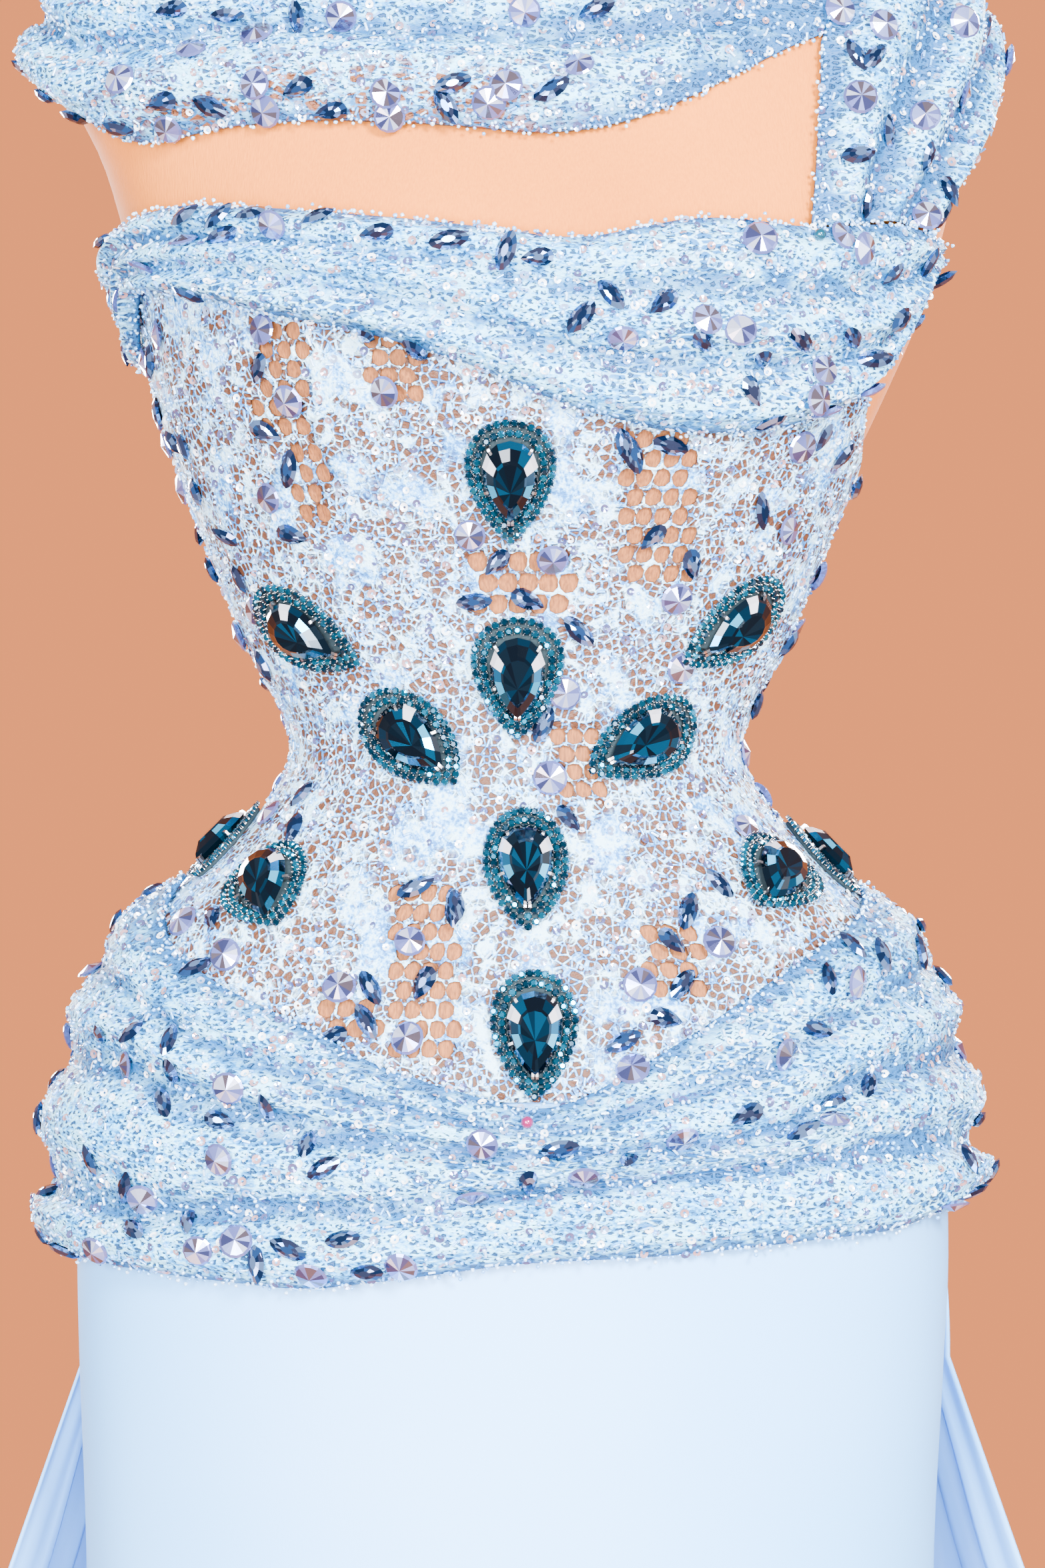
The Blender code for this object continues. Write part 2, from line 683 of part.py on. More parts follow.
def train():
    columns = TRAIN_PLEATS * TRAIN_STEPS + 1
    width = (columns - 1) // len(TRAIN_GORES) + 1
    grid = [[train_spot(column / (columns - 1), row) for column in range(columns)] for row in TRAIN_ROWS]
    last_row = len(grid) - 1
    for gore, name in enumerate(TRAIN_GORES):
        first = gore * (width - 1)
        outer = []
        inner = []
        for row in range(len(grid)):
            for column in range(first, first + width):
                across = grid[row][min(column + 1, columns - 1)] - grid[row][max(column - 1, 0)]
                down = grid[min(row + 1, last_row)][column] - grid[max(row - 1, 0)][column]
                away = down.cross(across).normalized()
                middle = grid[row][column]
                if column == first and first > 0:
                    middle = middle + across.normalized() * SEAM / 2
                if column == first + width - 1 and column < columns - 1:
                    middle = middle - across.normalized() * SEAM / 2
                outer.append(middle + away * TRAIN_THICK / 2)
                inner.append(middle - away * TRAIN_THICK / 2)
        for point in outer[-width:] + inner[-width:]:
            point.z = TRAIN_ROWS[-1][0]
        points, walls = closed_wall(outer, inner, grid_faces(len(grid), width))
        add_solid(name, points, walls, SATIN_BLUE, 0.35)


JEWEL_WIDTH = 36
JEWEL_LENGTH = 49.5
JEWEL_SIDES = 12
# Rings of a jewel from its back to its table: share of the outline, height above the lace.
JEWEL_RINGS = ((1.0, 0.0), (0.98, 2.8), (0.62, 5.0), (0.3, 8.6))


def jewel(name, turn, height, lean):
    # lean is the angle of the tip from straight down, toward +X.
    wide = (form_spot(turn + 0.01, height) - form_spot(turn - 0.01, height)).length / 0.02
    tall = (form_spot(turn, height + 1) - form_spot(turn, height - 1)).length / 2
    points = []

    def at(px, py, out):
        x = px * math.cos(lean) - py * math.sin(lean)
        y = px * math.sin(lean) + py * math.cos(lean)
        return form_spot(turn + x / wide, height + y / tall, JEWEL_ON + out)

    for share, out in JEWEL_RINGS:
        for side in range(JEWEL_SIDES):
            angle = side * 2 * math.pi / JEWEL_SIDES
            px = share * JEWEL_WIDTH / 2 * 1.12 * math.sin(angle) * abs(math.sin(angle / 2)) ** 0.7
            py = share * JEWEL_LENGTH / 2 * -math.cos(angle)
            points.append(at(px, py, out))
    faces = []
    for ring in range(len(JEWEL_RINGS) - 1):
        for side in range(JEWEL_SIDES):
            beside = (side + 1) % JEWEL_SIDES
            faces.append((
                ring * JEWEL_SIDES + side, ring * JEWEL_SIDES + beside,
                (ring + 1) * JEWEL_SIDES + beside, (ring + 1) * JEWEL_SIDES + side,
            ))
    points.append(at(0, 0, 0))
    under = len(points) - 1
    for side in range(JEWEL_SIDES):
        faces.append((side, under, (side + 1) % JEWEL_SIDES))
    top = (len(JEWEL_RINGS) - 1) * JEWEL_SIDES
    faces.append(tuple(range(top, top + JEWEL_SIDES)))
    return add_solid(name, points, faces, (0.01, 0.10, 0.20), 0.1)


def jewels():
    for number, (turn, height, lean) in enumerate(JEWEL_PLACES):
        jewel("jewel_%02d" % (number + 1), turn, height, lean)


def build():
    form_torso()
    form_stand()
    lining_and_lace()
    bust_drape()
    shoulder_strap()
    upper_drape()
    hip_drape()
    skirt()
    train()
    jewels()


for old in list(bpy.data.objects):
    bpy.data.objects.remove(old, do_unlink=True)
garment = bpy.data.collections.new("evening_dress")
bpy.context.scene.collection.children.link(garment)
build()
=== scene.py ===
# Looks of the evening dress on its dress form: cloth, lace, stones, beads, stand, lights and camera.
import math
import bpy
import numpy as np
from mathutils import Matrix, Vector
from mathutils.geometry import delaunay_2d_cdt


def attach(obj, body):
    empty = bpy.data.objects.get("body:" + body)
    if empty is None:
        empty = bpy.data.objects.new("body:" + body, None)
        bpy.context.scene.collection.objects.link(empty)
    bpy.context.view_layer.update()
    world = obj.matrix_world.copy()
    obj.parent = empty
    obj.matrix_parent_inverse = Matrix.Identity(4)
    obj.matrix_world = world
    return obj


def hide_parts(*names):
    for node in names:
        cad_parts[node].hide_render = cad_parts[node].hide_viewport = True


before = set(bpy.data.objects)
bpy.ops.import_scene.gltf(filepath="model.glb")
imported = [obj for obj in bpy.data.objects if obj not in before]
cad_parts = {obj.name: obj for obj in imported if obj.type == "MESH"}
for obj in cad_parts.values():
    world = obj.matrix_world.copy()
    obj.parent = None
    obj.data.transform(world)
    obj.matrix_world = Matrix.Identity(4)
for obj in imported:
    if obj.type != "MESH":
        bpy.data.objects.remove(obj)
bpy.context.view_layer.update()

MM = 0.001
DEG = math.pi / 180

# The picture's measures: pixels to millimetres at the form's outline, and where the eye is.
PICTURE_STEP = 0.27
PICTURE_MIDDLE = 775
PICTURE_HEIGHT = 2352
EYE_ROW = 1176
EYE_COLUMN = 784
EYE_HEIGHT = 1048
EYE_AWAY = 1780

# Height, half width at right and left, depth in front and behind, squareness of the section (mm).
FORM_ROWS = np.array((
    (1490, 57, 57, 50, 52, 2.0),
    (1450, 59, 59, 51, 55, 2.0),
    (1430, 66, 66, 54, 61, 2.0),
    (1414, 88, 88, 57, 68, 2.0),
    (1401, 118, 118, 61, 75, 2.0),
    (1388, 150, 150, 67, 82, 2.0),
    (1372, 173, 173, 75, 88, 2.1),
    (1352, 183, 184, 82, 93, 2.2),
    (1330, 184, 182, 88, 96, 2.2),
    (1298, 179, 167, 96, 96, 2.2),
    (1265, 171, 157, 104, 94, 2.2),
    (1237, 163, 148, 107, 93, 2.2),
    (1205, 149, 142, 104, 91, 2.2),
    (1171, 133, 131, 96, 87, 2.2),
    (1136, 118, 118, 86, 82, 2.2),
    (1103, 104, 104, 78, 79, 2.1),
    (1079, 91, 91, 73, 78, 2.1),
    (1060, 87, 87, 72, 78, 2.1),
    (1039, 97, 97, 74, 81, 2.1),
    (1014, 121, 121, 80, 89, 2.1),
    (990, 147, 147, 87, 99, 2.1),
    (957, 164, 165, 94, 111, 2.1),
    (909, 171, 173, 99, 121, 2.2),
    (876, 172, 175, 100, 125, 2.2),
    (850, 172, 175, 100, 125, 2.2),
    (800, 165, 166, 96, 119, 2.2),
    (740, 150, 150, 88, 108, 2.1),
    (690, 132, 132, 78, 94, 2.0),
))
# Below the hips the cloth hangs free of the form.
HANGING_ROWS = np.array((
    (812, 170, 174, 101, 127, 2.2),
    (730, 166, 171, 104, 130, 2.2),
    (400, 166, 169, 122, 142, 2.2),
    (200, 169, 171, 137, 151, 2.2),
    (5, 173, 175, 150, 162, 2.2),
))
CLOTH_ROWS = np.vstack((FORM_ROWS[FORM_ROWS[:, 0] >= 850], HANGING_ROWS))
BUST_APEX = 85
BUST_HEIGHT = 1235
BUST_SPREAD = 58
BUST_RISE = 9

# Layers, measured outward from the form (mm).
LINING_IN = 1.0
LINING_OUT = 2.2
LACE_IN = 2.9
LACE_OUT = 4.1
JEWEL_ON = 5.05
DRAPE_ON = 5.5
DRAPE_THICK = 1.7
UPPER_ON = 0.8
SKIRT_OUT = 2.3
SKIRT_THICK = 1.0
TRAIN_ON = 3.1
TRAIN_THICK = 1.5
STRAP_ON = 3.4
STRAP_THICK = 1.0
STRAP_FLUTE = 8.5
HIP_SEAM = 929

# Where each half of the dress starts and ends, in degrees of turn, and the small gap at its side seams.
HALVES = (("front", -90, 90), ("back", 90, 270))
SEAM_GAP = 0.15


def smooth_values(rows, heights):
    # Smooth values of a table of rows at many heights; the rows run from high to low.
    levels = rows[:, 0]
    heights = np.clip(heights, levels[-1], levels[0])
    count = len(levels)
    index = np.clip(np.searchsorted(-levels, -heights, side="right") - 1, 0, count - 2)
    before = np.clip(np.arange(count) - 1, 0, count - 1)
    after = np.clip(np.arange(count) + 1, 0, count - 1)
    slopes = (rows[after, 1:] - rows[before, 1:]) / (levels[before] - levels[after])[:, None]
    gap = (levels[index] - levels[index + 1])[..., None]
    part = (levels[index] - heights)[..., None] / gap
    upper = rows[index, 1:]
    lower = rows[index + 1, 1:]
    square = part ** 2
    cube = part ** 3
    return (
        (2 * cube - 3 * square + 1) * upper
        + (cube - 2 * square + part) * slopes[index] * gap
        + (3 * square - 2 * cube) * lower
        + (cube - square) * slopes[index + 1] * gap
    )


def alike(turn, height):
    # The two as arrays of one shape.
    return np.broadcast_arrays(np.asarray(turn, float), np.asarray(height, float))


def section_spots(rows, turn, height):
    # Spots of the sections; turn is 0 in front and 90 degrees at the right side.
    turn, height = alike(turn, height)
    right, left, front, back, squareness = np.moveaxis(smooth_values(rows, height), -1, 0)
    across = np.sin(turn)
    along = np.cos(turn)
    reach = (np.abs(across) ** squareness + np.abs(along) ** squareness) ** (-1 / squareness)
    x = np.where(across >= 0, right, left) * reach * across
    y = -np.where(along >= 0, front, back) * reach * along
    beside = np.maximum(np.abs(x) - BUST_APEX, 0) / BUST_SPREAD
    over = (height - BUST_HEIGHT) / BUST_SPREAD
    y = y - BUST_RISE * np.exp(-(beside ** 2 + over ** 2)) * np.maximum(along, 0)
    return np.stack((x, y, height), axis=-1)


def unit(vectors):
    return vectors / np.maximum(np.linalg.norm(vectors, axis=-1, keepdims=True), 1e-9)


def layer(rows, turn, height, out):
    # The spots moved outward, square to the surface.
    turn, height = alike(turn, height)
    near = np.clip(height, rows[-1, 0] + 1, rows[0, 0] - 1)
    across = section_spots(rows, turn + 0.01, height) - section_spots(rows, turn - 0.01, height)
    up = section_spots(rows, turn, near + 1) - section_spots(rows, turn, near - 1)
    return section_spots(rows, turn, height) + unit(np.cross(across, up)) * np.asarray(out)[..., None]


def wrapped(turn):
    # The same turn between half a circle to the left and half a circle to the right.
    return (turn + math.pi) % (2 * math.pi) - math.pi


def seen(px, py):
    # Turn and height on the dressed front for a spot of the picture, nearer to the truth with each round.
    skin = 5
    rounds = 14
    depth = 0.0
    for _ in range(rounds):
        scale = PICTURE_STEP * (EYE_AWAY + depth) / EYE_AWAY
        x = (px - PICTURE_MIDDLE) * scale
        height = EYE_HEIGHT - (py - EYE_ROW) * scale
        right, left, front, back, squareness = smooth_values(FORM_ROWS, np.array(float(height)))
        wide = (right if x >= 0 else left) + skin
        share = min(abs(x) / wide, 0.995)
        depth = -(front + skin) * (1 - share ** squareness) ** (1 / squareness)
    return math.atan2(math.copysign(share, x), -depth / (front + skin)), height


# Turns over which an edge is averaged, to round its corners.
CORNER_BLUR = np.array((-0.07, -0.035, 0.0, 0.035, 0.07))


def line_round(front_spots, back_spots):
    # A height for every turn: picture spots in front, turns in degrees and heights behind.
    knots = [seen(px, py) for px, py in front_spots]
    knots += [(turn * DEG, height) for turn, height in back_spots]
    knots = sorted((wrapped(turn), height) for turn, height in knots)
    turns = [knot[0] for knot in knots]
    heights = [knot[1] for knot in knots]
    turns = [turns[-1] - 2 * math.pi] + turns + [turns[0] + 2 * math.pi]
    heights = [heights[-1]] + heights + [heights[0]]

    def height_at(turn):
        turn = wrapped(np.asarray(turn, float))
        return np.interp(turn[..., None] + CORNER_BLUR, turns, heights).mean(axis=-1)

    return height_at


# Edges of the pieces, as in the solids.
BODICE_TOP = line_round(
    ((240, 332), (290, 322), (700, 365), (870, 388), (1000, 362), (1100, 356), (1215, 366)),
    ((57, 1250), (60, 1222), (64, 1198), (72, 1184), (82, 1174), (96, 1160), (120, 1152), (180, 1156),
     (-150, 1172), (-120, 1205), (-100, 1238), (-84, 1252)),
)
BUST_TOP = line_round(
    ((225, 320), (280, 310), (500, 330), (700, 350), (870, 372), (1000, 345), (1060, 335), (1215, 350)),
    ((55, 1267), (70, 1263), (-84, 1265), (-115, 1250)),
)
BUST_LOW = line_round(
    ((210, 430), (300, 440), (400, 470), (560, 500), (700, 540), (850, 600), (1000, 640), (1130, 640),
     (1225, 618)),
    ((58, 1203), (62, 1220), (66, 1240), (70, 1256), (-78, 1228), (-92, 1216), (-115, 1222)),
)
UPPER_LOW = line_round(
    ((190, 212), (230, 215), (350, 190), (480, 183), (640, 190), (830, 207), (900, 195), (960, 185),
     (1100, 120), (1200, 65)),
    ((44, 1345), (-72, 1318), (-84, 1332), (-110, 1330), (-150, 1305), (180, 1296), (155, 1318), (136, 1345)),
)
UPPER_TOP = line_round(
    (),
    ((0, 1391), (30, 1380), (44, 1369), (-40, 1392), (-90, 1392), (-140, 1392), (180, 1390), (155, 1382),
     (136, 1369)),
)
HIP_TOP = line_round(
    ((225, 1320), (260, 1430), (350, 1495), (465, 1545), (555, 1600), (725, 1650), (800, 1672), (859, 1660),
     (984, 1590), (1109, 1510), (1209, 1440), (1284, 1390), (1334, 1340)),
    ((88, 998), (100, 991), (130, 980), (180, 960), (-130, 982), (-100, 997), (-88, 1003)),
)
HIP_FOLD_HIGH = line_round(
    ((200, 1600), (430, 1690), (600, 1720), (800, 1740), (1169, 1715), (1234, 1650), (1309, 1615)),
    ((92, 942), (140, 928), (180, 918), (-140, 926), (-92, 938)),
)
HIP_FOLD_LOW = line_round(
    ((120, 1790), (260, 1830), (400, 1815), (545, 1820), (750, 1795), (1200, 1740), (1380, 1712)),
    ((96, 900), (180, 893), (-96, 888)),
)
HIP_LOW = line_round(
    ((115, 1875), (380, 1925), (450, 1935), (620, 1915), (784, 1893), (974, 1885), (1109, 1872), (1209, 1860),
     (1334, 1845), (1429, 1785)),
    ((94, 881), (140, 872), (180, 868), (-140, 864), (-94, 860)),
)


def material(name, colour, roughness=0.5, metallic=0.0, coat=0.0):
    # A Principled material with its even values on the shader's own sockets.
    made = bpy.data.materials.new(name)
    made.use_nodes = True
    sockets = made.node_tree.nodes["Principled BSDF"].inputs
    sockets["Base Color"].default_value = (*colour, 1.0)
    sockets["Roughness"].default_value = roughness
    sockets["Metallic"].default_value = metallic
    sockets["Coat Weight"].default_value = coat
    sockets["Coat Roughness"].default_value = 0.04
    return made


class Nodes:
    # Short names for adding shader nodes to one material.
    def __init__(self, made):
        self.tree = made.node_tree
        self.shader = made.node_tree.nodes["Principled BSDF"]
        self.place = self.add("ShaderNodeTexCoord").outputs["Object"]

    def add(self, kind, **values):
        node = self.tree.nodes.new(kind)
        for key, value in values.items():
            setattr(node, key, value)
        return node

    def link(self, output, target):
        self.tree.links.new(output, target)

    def stretched(self, scale):
        mapping = self.add("ShaderNodeMapping")
        mapping.inputs["Scale"].default_value = scale
        self.link(self.place, mapping.inputs["Vector"])
        return mapping.outputs["Vector"]

    def noise(self, scale, detail=3.0, place=None, distortion=0.0):
        node = self.add("ShaderNodeTexNoise")
        node.inputs["Scale"].default_value = scale
        node.inputs["Detail"].default_value = detail
        node.inputs["Distortion"].default_value = distortion
        self.link(place or self.place, node.inputs["Vector"])
        return node.outputs["Fac"]

    def cells(self, scale, place=None, feature="DISTANCE_TO_EDGE"):
        node = self.add("ShaderNodeTexVoronoi", feature=feature)
        node.inputs["Scale"].default_value = scale
        self.link(place or self.place, node.inputs["Vector"])
        return node.outputs["Distance"]

    def ramp(self, value, stops):
        node = self.add("ShaderNodeValToRGB")
        elements = node.color_ramp.elements
        while len(elements) < len(stops):
            elements.new(0.5)
        for element, (position, colour) in zip(elements, stops):
            element.position = position
            element.color = (*colour, 1.0)
        self.link(value, node.inputs["Fac"])
        return node.outputs["Color"]

    def mask(self, value, low, high):
        node = self.add("ShaderNodeMapRange", interpolation_type="SMOOTHSTEP")
        node.inputs["From Min"].default_value = low
        node.inputs["From Max"].default_value = high
        self.link(value, node.inputs["Value"])
        return node.outputs["Result"]

    def math(self, operation, first, second):
        node = self.add("ShaderNodeMath", operation=operation)
        for socket, value in zip(node.inputs, (first, second)):
            if isinstance(value, (int, float)):
                socket.default_value = value
            else:
                self.link(value, socket)
        return node.outputs["Value"]

    def average(self, first, second):
        return self.math("ADD", self.math("MULTIPLY", first, 0.5), self.math("MULTIPLY", second, 0.5))

    def mix(self, factor, first, second):
        node = self.add("ShaderNodeMix", data_type="RGBA")
        self.link(factor, node.inputs["Factor"])
        sockets = [socket for socket in node.inputs if socket.type == "RGBA"]
        for socket, value in zip(sockets, (first, second)):
            if isinstance(value, tuple):
                socket.default_value = (*value, 1.0)
            else:
                self.link(value, socket)
        return [output for output in node.outputs if output.type == "RGBA"][0]

    def bump(self, height, strength, distance):
        node = self.add("ShaderNodeBump")
        node.inputs["Strength"].default_value = strength
        node.inputs["Distance"].default_value = distance
        self.link(height, node.inputs["Height"])
        self.link(node.outputs["Normal"], self.shader.inputs["Normal"])

    def colour(self, output):
        self.link(output, self.shader.inputs["Base Color"])

    def roughness(self, output):
        self.link(output, self.shader.inputs["Roughness"])


def grained(name, colour, roughness, stretch, detail=2.0, distortion=0.0, metallic=0.0, coat=0.0):
    # A material, its nodes, and a stretched grain such as ribs, weave or wood.
    made = material(name, colour, roughness, metallic, coat)
    nodes = Nodes(made)
    return made, nodes, nodes.noise(1.0, detail, nodes.stretched(stretch), distortion)


def jersey_material():
    made, nodes, ribs = grained("jersey", (0.60, 0.20, 0.03), 0.85, (1500, 1500, 260))
    mottled = nodes.average(ribs, nodes.noise(9, 2))
    nodes.colour(nodes.ramp(mottled, ((0.3, (0.49, 0.120, 0.004)), (0.7, (0.65, 0.172, 0.009)))))
    nodes.bump(ribs, 0.35, 0.0006)
    return made


def lining_material():
    made, nodes, ribs = grained("nude_lining", (0.20, 0.06, 0.014), 0.75, (1300, 1300, 220))
    nodes.colour(nodes.ramp(ribs, ((0.3, (0.14, 0.038, 0.006)), (0.7, (0.30, 0.092, 0.018)))))
    nodes.bump(ribs, 0.5, 0.0008)
    return made


def lace_material():
    # Corded lace on net: pale thread clusters, blue thread shadows, small gaps down to the lining, painted in
    # the lining's tan darkened as shade.
    made = material("beaded_lace", (0.3, 0.6, 1.0), 0.6)
    nodes = Nodes(made)
    clusters = nodes.noise(130, 4, distortion=0.7)
    threads = nodes.noise(700, 3)
    meshes = nodes.cells(300)
    patches = nodes.noise(45, 3)
    value = nodes.average(clusters, threads)
    blues = ((0.41, (0.01, 0.14, 0.44)), (0.48, (0.12, 0.44, 0.92)), (0.56, (0.46, 0.78, 1.0)))
    cloth = nodes.ramp(value, blues)
    # The small gaps: the lining's tan, painted darker than the lining itself as the shade inside the holes.
    shaded_gaps = nodes.math("MULTIPLY", nodes.mask(meshes, 0.08, 0.15), nodes.mask(patches, 0.38, 0.46))
    shaded_gaps = nodes.math("MULTIPLY", shaded_gaps, nodes.mask(clusters, 0.63, 0.50))
    nodes.colour(nodes.mix(shaded_gaps, cloth, (0.075, 0.020, 0.004)))
    nodes.bump(nodes.math("SUBTRACT", value, nodes.math("MULTIPLY", shaded_gaps, 0.8)), 1.0, 0.0018)
    return made


def drape_material():
    # The same lace gathered: blue thread shadows, drawn-out net, small gaps painted dark blue as the shaded
    # layer beneath, and painted shade in the valleys between the folds.
    made = material("draped_lace", (0.1, 0.4, 1.0), 0.6)
    nodes = Nodes(made)
    fold = nodes.add("ShaderNodeAttribute", attribute_name="fold").outputs["Fac"]
    clusters = nodes.noise(110, 4, nodes.stretched((0.7, 0.7, 1.4)), 0.6)
    threads = nodes.noise(640, 3, nodes.stretched((0.7, 0.7, 1.3)))
    value = nodes.average(clusters, threads)
    blues = ((0.40, (0.0, 0.15, 0.42)), (0.47, (0.05, 0.40, 0.88)), (0.55, (0.26, 0.70, 1.0)))
    cloth = nodes.ramp(value, blues)
    # The drawn-out net: pale threads over holes painted dark blue, the shaded layer beneath.
    net = nodes.cells(290, nodes.stretched((0.50, 0.50, 1.35)))
    drawn = nodes.mix(nodes.mask(net, 0.05, 0.16), (0.32, 0.72, 1.0), (0.0, 0.13, 0.38))
    netted = nodes.mask(nodes.noise(26, 2, nodes.stretched((0.5, 0.5, 1.6))), 0.54, 0.62)
    netted = nodes.math("MULTIPLY", netted, nodes.mask(clusters, 0.60, 0.50))
    cloth = nodes.mix(netted, cloth, drawn)
    # Painted shade: where the fold is low and the lace's clusters are thin, the colour goes to a deep blue.
    deep = nodes.math("SUBTRACT", nodes.math("MULTIPLY", clusters, 0.8), nodes.math("MULTIPLY", fold, -0.7))
    cloth = nodes.mix(nodes.mask(deep, 0.98, 0.50), cloth, (0.0, 0.085, 0.26))
    # Small gaps painted a darker blue: the layer beneath, in shade.
    specks = nodes.cells(330, nodes.stretched((0.8, 0.8, 1.2)))
    shaded_gaps = nodes.math("MULTIPLY", nodes.mask(specks, 0.12, 0.22), nodes.mask(threads, 0.55, 0.45))
    cloth = nodes.mix(shaded_gaps, cloth, (0.0, 0.05, 0.16))
    bare = nodes.add("ShaderNodeAttribute", attribute_name="bare").outputs["Fac"]
    bare = nodes.math("MULTIPLY", bare, nodes.mask(clusters, 0.60, 0.44))
    holes = nodes.mask(nodes.cells(230, nodes.stretched((0.8, 0.8, 1.2))), 0.07, 0.15)
    nodes.colour(nodes.mix(nodes.math("MULTIPLY", bare, holes), cloth, (0.16, 0.045, 0.012)))
    nodes.bump(nodes.math("SUBTRACT", value, nodes.math("MULTIPLY", shaded_gaps, 0.7)), 1.0, 0.0018)
    return made


def satin_material():
    made, nodes, weave = grained("satin", (0.15, 0.48, 0.98), 0.45, (1800, 1800, 420))
    nodes.colour(nodes.ramp(nodes.noise(6, 2), ((0.3, (0.13, 0.46, 0.96)), (0.7, (0.18, 0.50, 1.0)))))
    nodes.bump(weave, 0.12, 0.0003)
    nodes.shader.inputs["Anisotropic"].default_value = 0.4
    nodes.shader.inputs["Specular IOR Level"].default_value = 0.6
    return made


def steel_material():
    made, nodes, brushed = grained("stand_steel", (0.62, 0.62, 0.64), 0.28, (60, 60, 2200), 3.0, metallic=1.0)
    nodes.roughness(nodes.ramp(brushed, ((0.2, (0.2, 0.2, 0.2)), (0.8, (0.42, 0.42, 0.42)))))
    nodes.bump(brushed, 0.1, 0.0003)
    return made


def wood_material():
    made, nodes, grain = grained("cap_wood", (0.11, 0.05, 0.02), 0.4, (240, 30, 60), 5.0, 1.2, coat=0.4)
    nodes.colour(nodes.ramp(grain, ((0.3, (0.07, 0.030, 0.012)), (0.7, (0.16, 0.075, 0.030)))))
    nodes.bump(grain, 0.15, 0.0004)
    return made


def add_mesh(name, points, faces, materials, indices=None, smooth=True):
    # A piece from points in millimetres; indices pick each face's material.
    mesh = bpy.data.meshes.new(name)
    mesh.from_pydata((np.asarray(points) * MM).tolist(), [], faces)
    for made in materials:
        mesh.materials.append(made)
    if indices is not None:
        mesh.polygons.foreach_set("material_index", np.asarray(indices, dtype=np.int32))
    mesh.polygons.foreach_set("use_smooth", np.full(len(mesh.polygons), smooth))
    mesh.update()
    piece = bpy.data.objects.new(name, mesh)
    bpy.context.scene.collection.objects.link(piece)
    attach(piece, "root")
    return piece


def grid_faces(rows, columns, ring=False):
    # Faces of a grid whose rows run downward and whose columns run to the right.
    last = columns if ring else columns - 1
    row, column = np.meshgrid(np.arange(rows - 1), np.arange(last), indexing="ij")
    beside = (column + 1) % columns
    corners = (row * columns + column, (row + 1) * columns + column, (row + 1) * columns + beside,
               row * columns + beside)
    return np.stack(corners, axis=-1).reshape(-1, 4)


def end_faces(rows, columns):
    # The two faces that close a tube at its first and last row.
    return [list(range(columns))[::-1], list(range((rows - 1) * columns, rows * columns))]


def wall_mesh(outer, inner, ring=False):
    # Points and faces of a closed wall from two grids of points.
    rows, columns = outer.shape[:2]
    faces = grid_faces(rows, columns, ring)
    count = rows * columns
    walls = [faces, faces[:, ::-1] + count]
    across = np.arange(columns if ring else columns - 1)
    beside = (across + 1) % columns
    low = (rows - 1) * columns
    walls.append(np.stack((across, beside, beside + count, across + count), axis=-1))
    walls.append(np.stack((low + beside, low + across, low + across + count, low + beside + count), axis=-1))
    if not ring:
        down = np.arange(rows - 1) * columns
        below = down + columns
        walls.append(np.stack((below, down, down + count, below + count), axis=-1))
        end = columns - 1
        walls.append(np.stack((down + end, below + end, below + end + count, down + end + count), axis=-1))
    return np.vstack((outer.reshape(-1, 3), inner.reshape(-1, 3))), np.vstack(walls).tolist()


def cut_of_cloth(piece, *nodes):
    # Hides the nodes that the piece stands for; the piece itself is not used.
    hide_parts(*nodes)


def add_wall(name, nodes, outer, inner, made, slot, ring=False, **shades):
    # Cloth with a wall; fold says how far a spot stands out of its fold, and the draped lace paints shade
    # where it is low; bare says how open the net is there.
    points, faces = wall_mesh(outer, inner, ring)
    piece = add_mesh(name, points, faces, [made])
    for key, shade in shades.items():
        values = piece.data.attributes.new(key, "FLOAT", "POINT")
        values.data.foreach_set("value", np.concatenate((shade.ravel(), shade.ravel())).astype(np.float32))
    cut_of_cloth(piece, *nodes)


# The fine cloth's folds stand this much higher than the solids' folds.
FOLD_DEEPER = 1.3


def drape_grid(columns, lines, lifts, on, rows, steps, fade, ripple, seed):
    # Outer and inner points of a folded drape; the folds run along the lines.
    places = np.linspace(0, 1, len(lines))
    down = np.linspace(0, 1, steps)
    course = np.stack([line(columns) for line in lines])
    heights = np.stack([np.interp(down, places, course[:, column]) for column in range(len(columns))], axis=1)
    turn = np.broadcast_to(columns, heights.shape)
    share = smooth_values(np.column_stack((-places, lifts)), -down) * FOLD_DEEPER
    wander = 0.5 * np.sin(columns * 2.3 + seed) + 0.3 * np.sin(columns * 5.1 + seed * 2)
    fine = ripple * np.sin(down[:, None] * len(lines) * 7.5 + wander * 3.0 + np.sin(columns * 9 + seed) * 0.8)
    fine = fine + ripple * 0.6 * np.sin(down[:, None] * len(lines) * 13.1 + columns * 3.1 + seed)
    edge = np.clip(np.minimum(down, 1 - down)[:, None] * 14, 0, 1)
    rise = share * (1 + 0.18 * np.sin(columns * 4.1 + down[:, None] * 5 + seed)) + fine * edge
    rise = np.maximum(rise, 0.2) * fade(columns)
    start = on(turn, heights) + rise
    fold = np.clip(rise / (max(lifts) * FOLD_DEEPER * 0.85), 0, 1)
    return layer(rows, turn, heights, start + DRAPE_THICK), layer(rows, turn, heights, start), fold


def torso_piece(made):
    levels = np.concatenate((np.linspace(1489, 1340, 36), np.linspace(1336, 690, 80)))
    turns = np.linspace(0, 2 * math.pi, 128, endpoint=False)
    points = section_spots(FORM_ROWS, turns[None, :], levels[:, None])
    rows, columns = points.shape[:2]
    faces = grid_faces(rows, columns, True).tolist() + end_faces(rows, columns)
    piece = add_mesh("jersey_torso", points.reshape(-1, 3), faces, [made])
    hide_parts("form_torso")


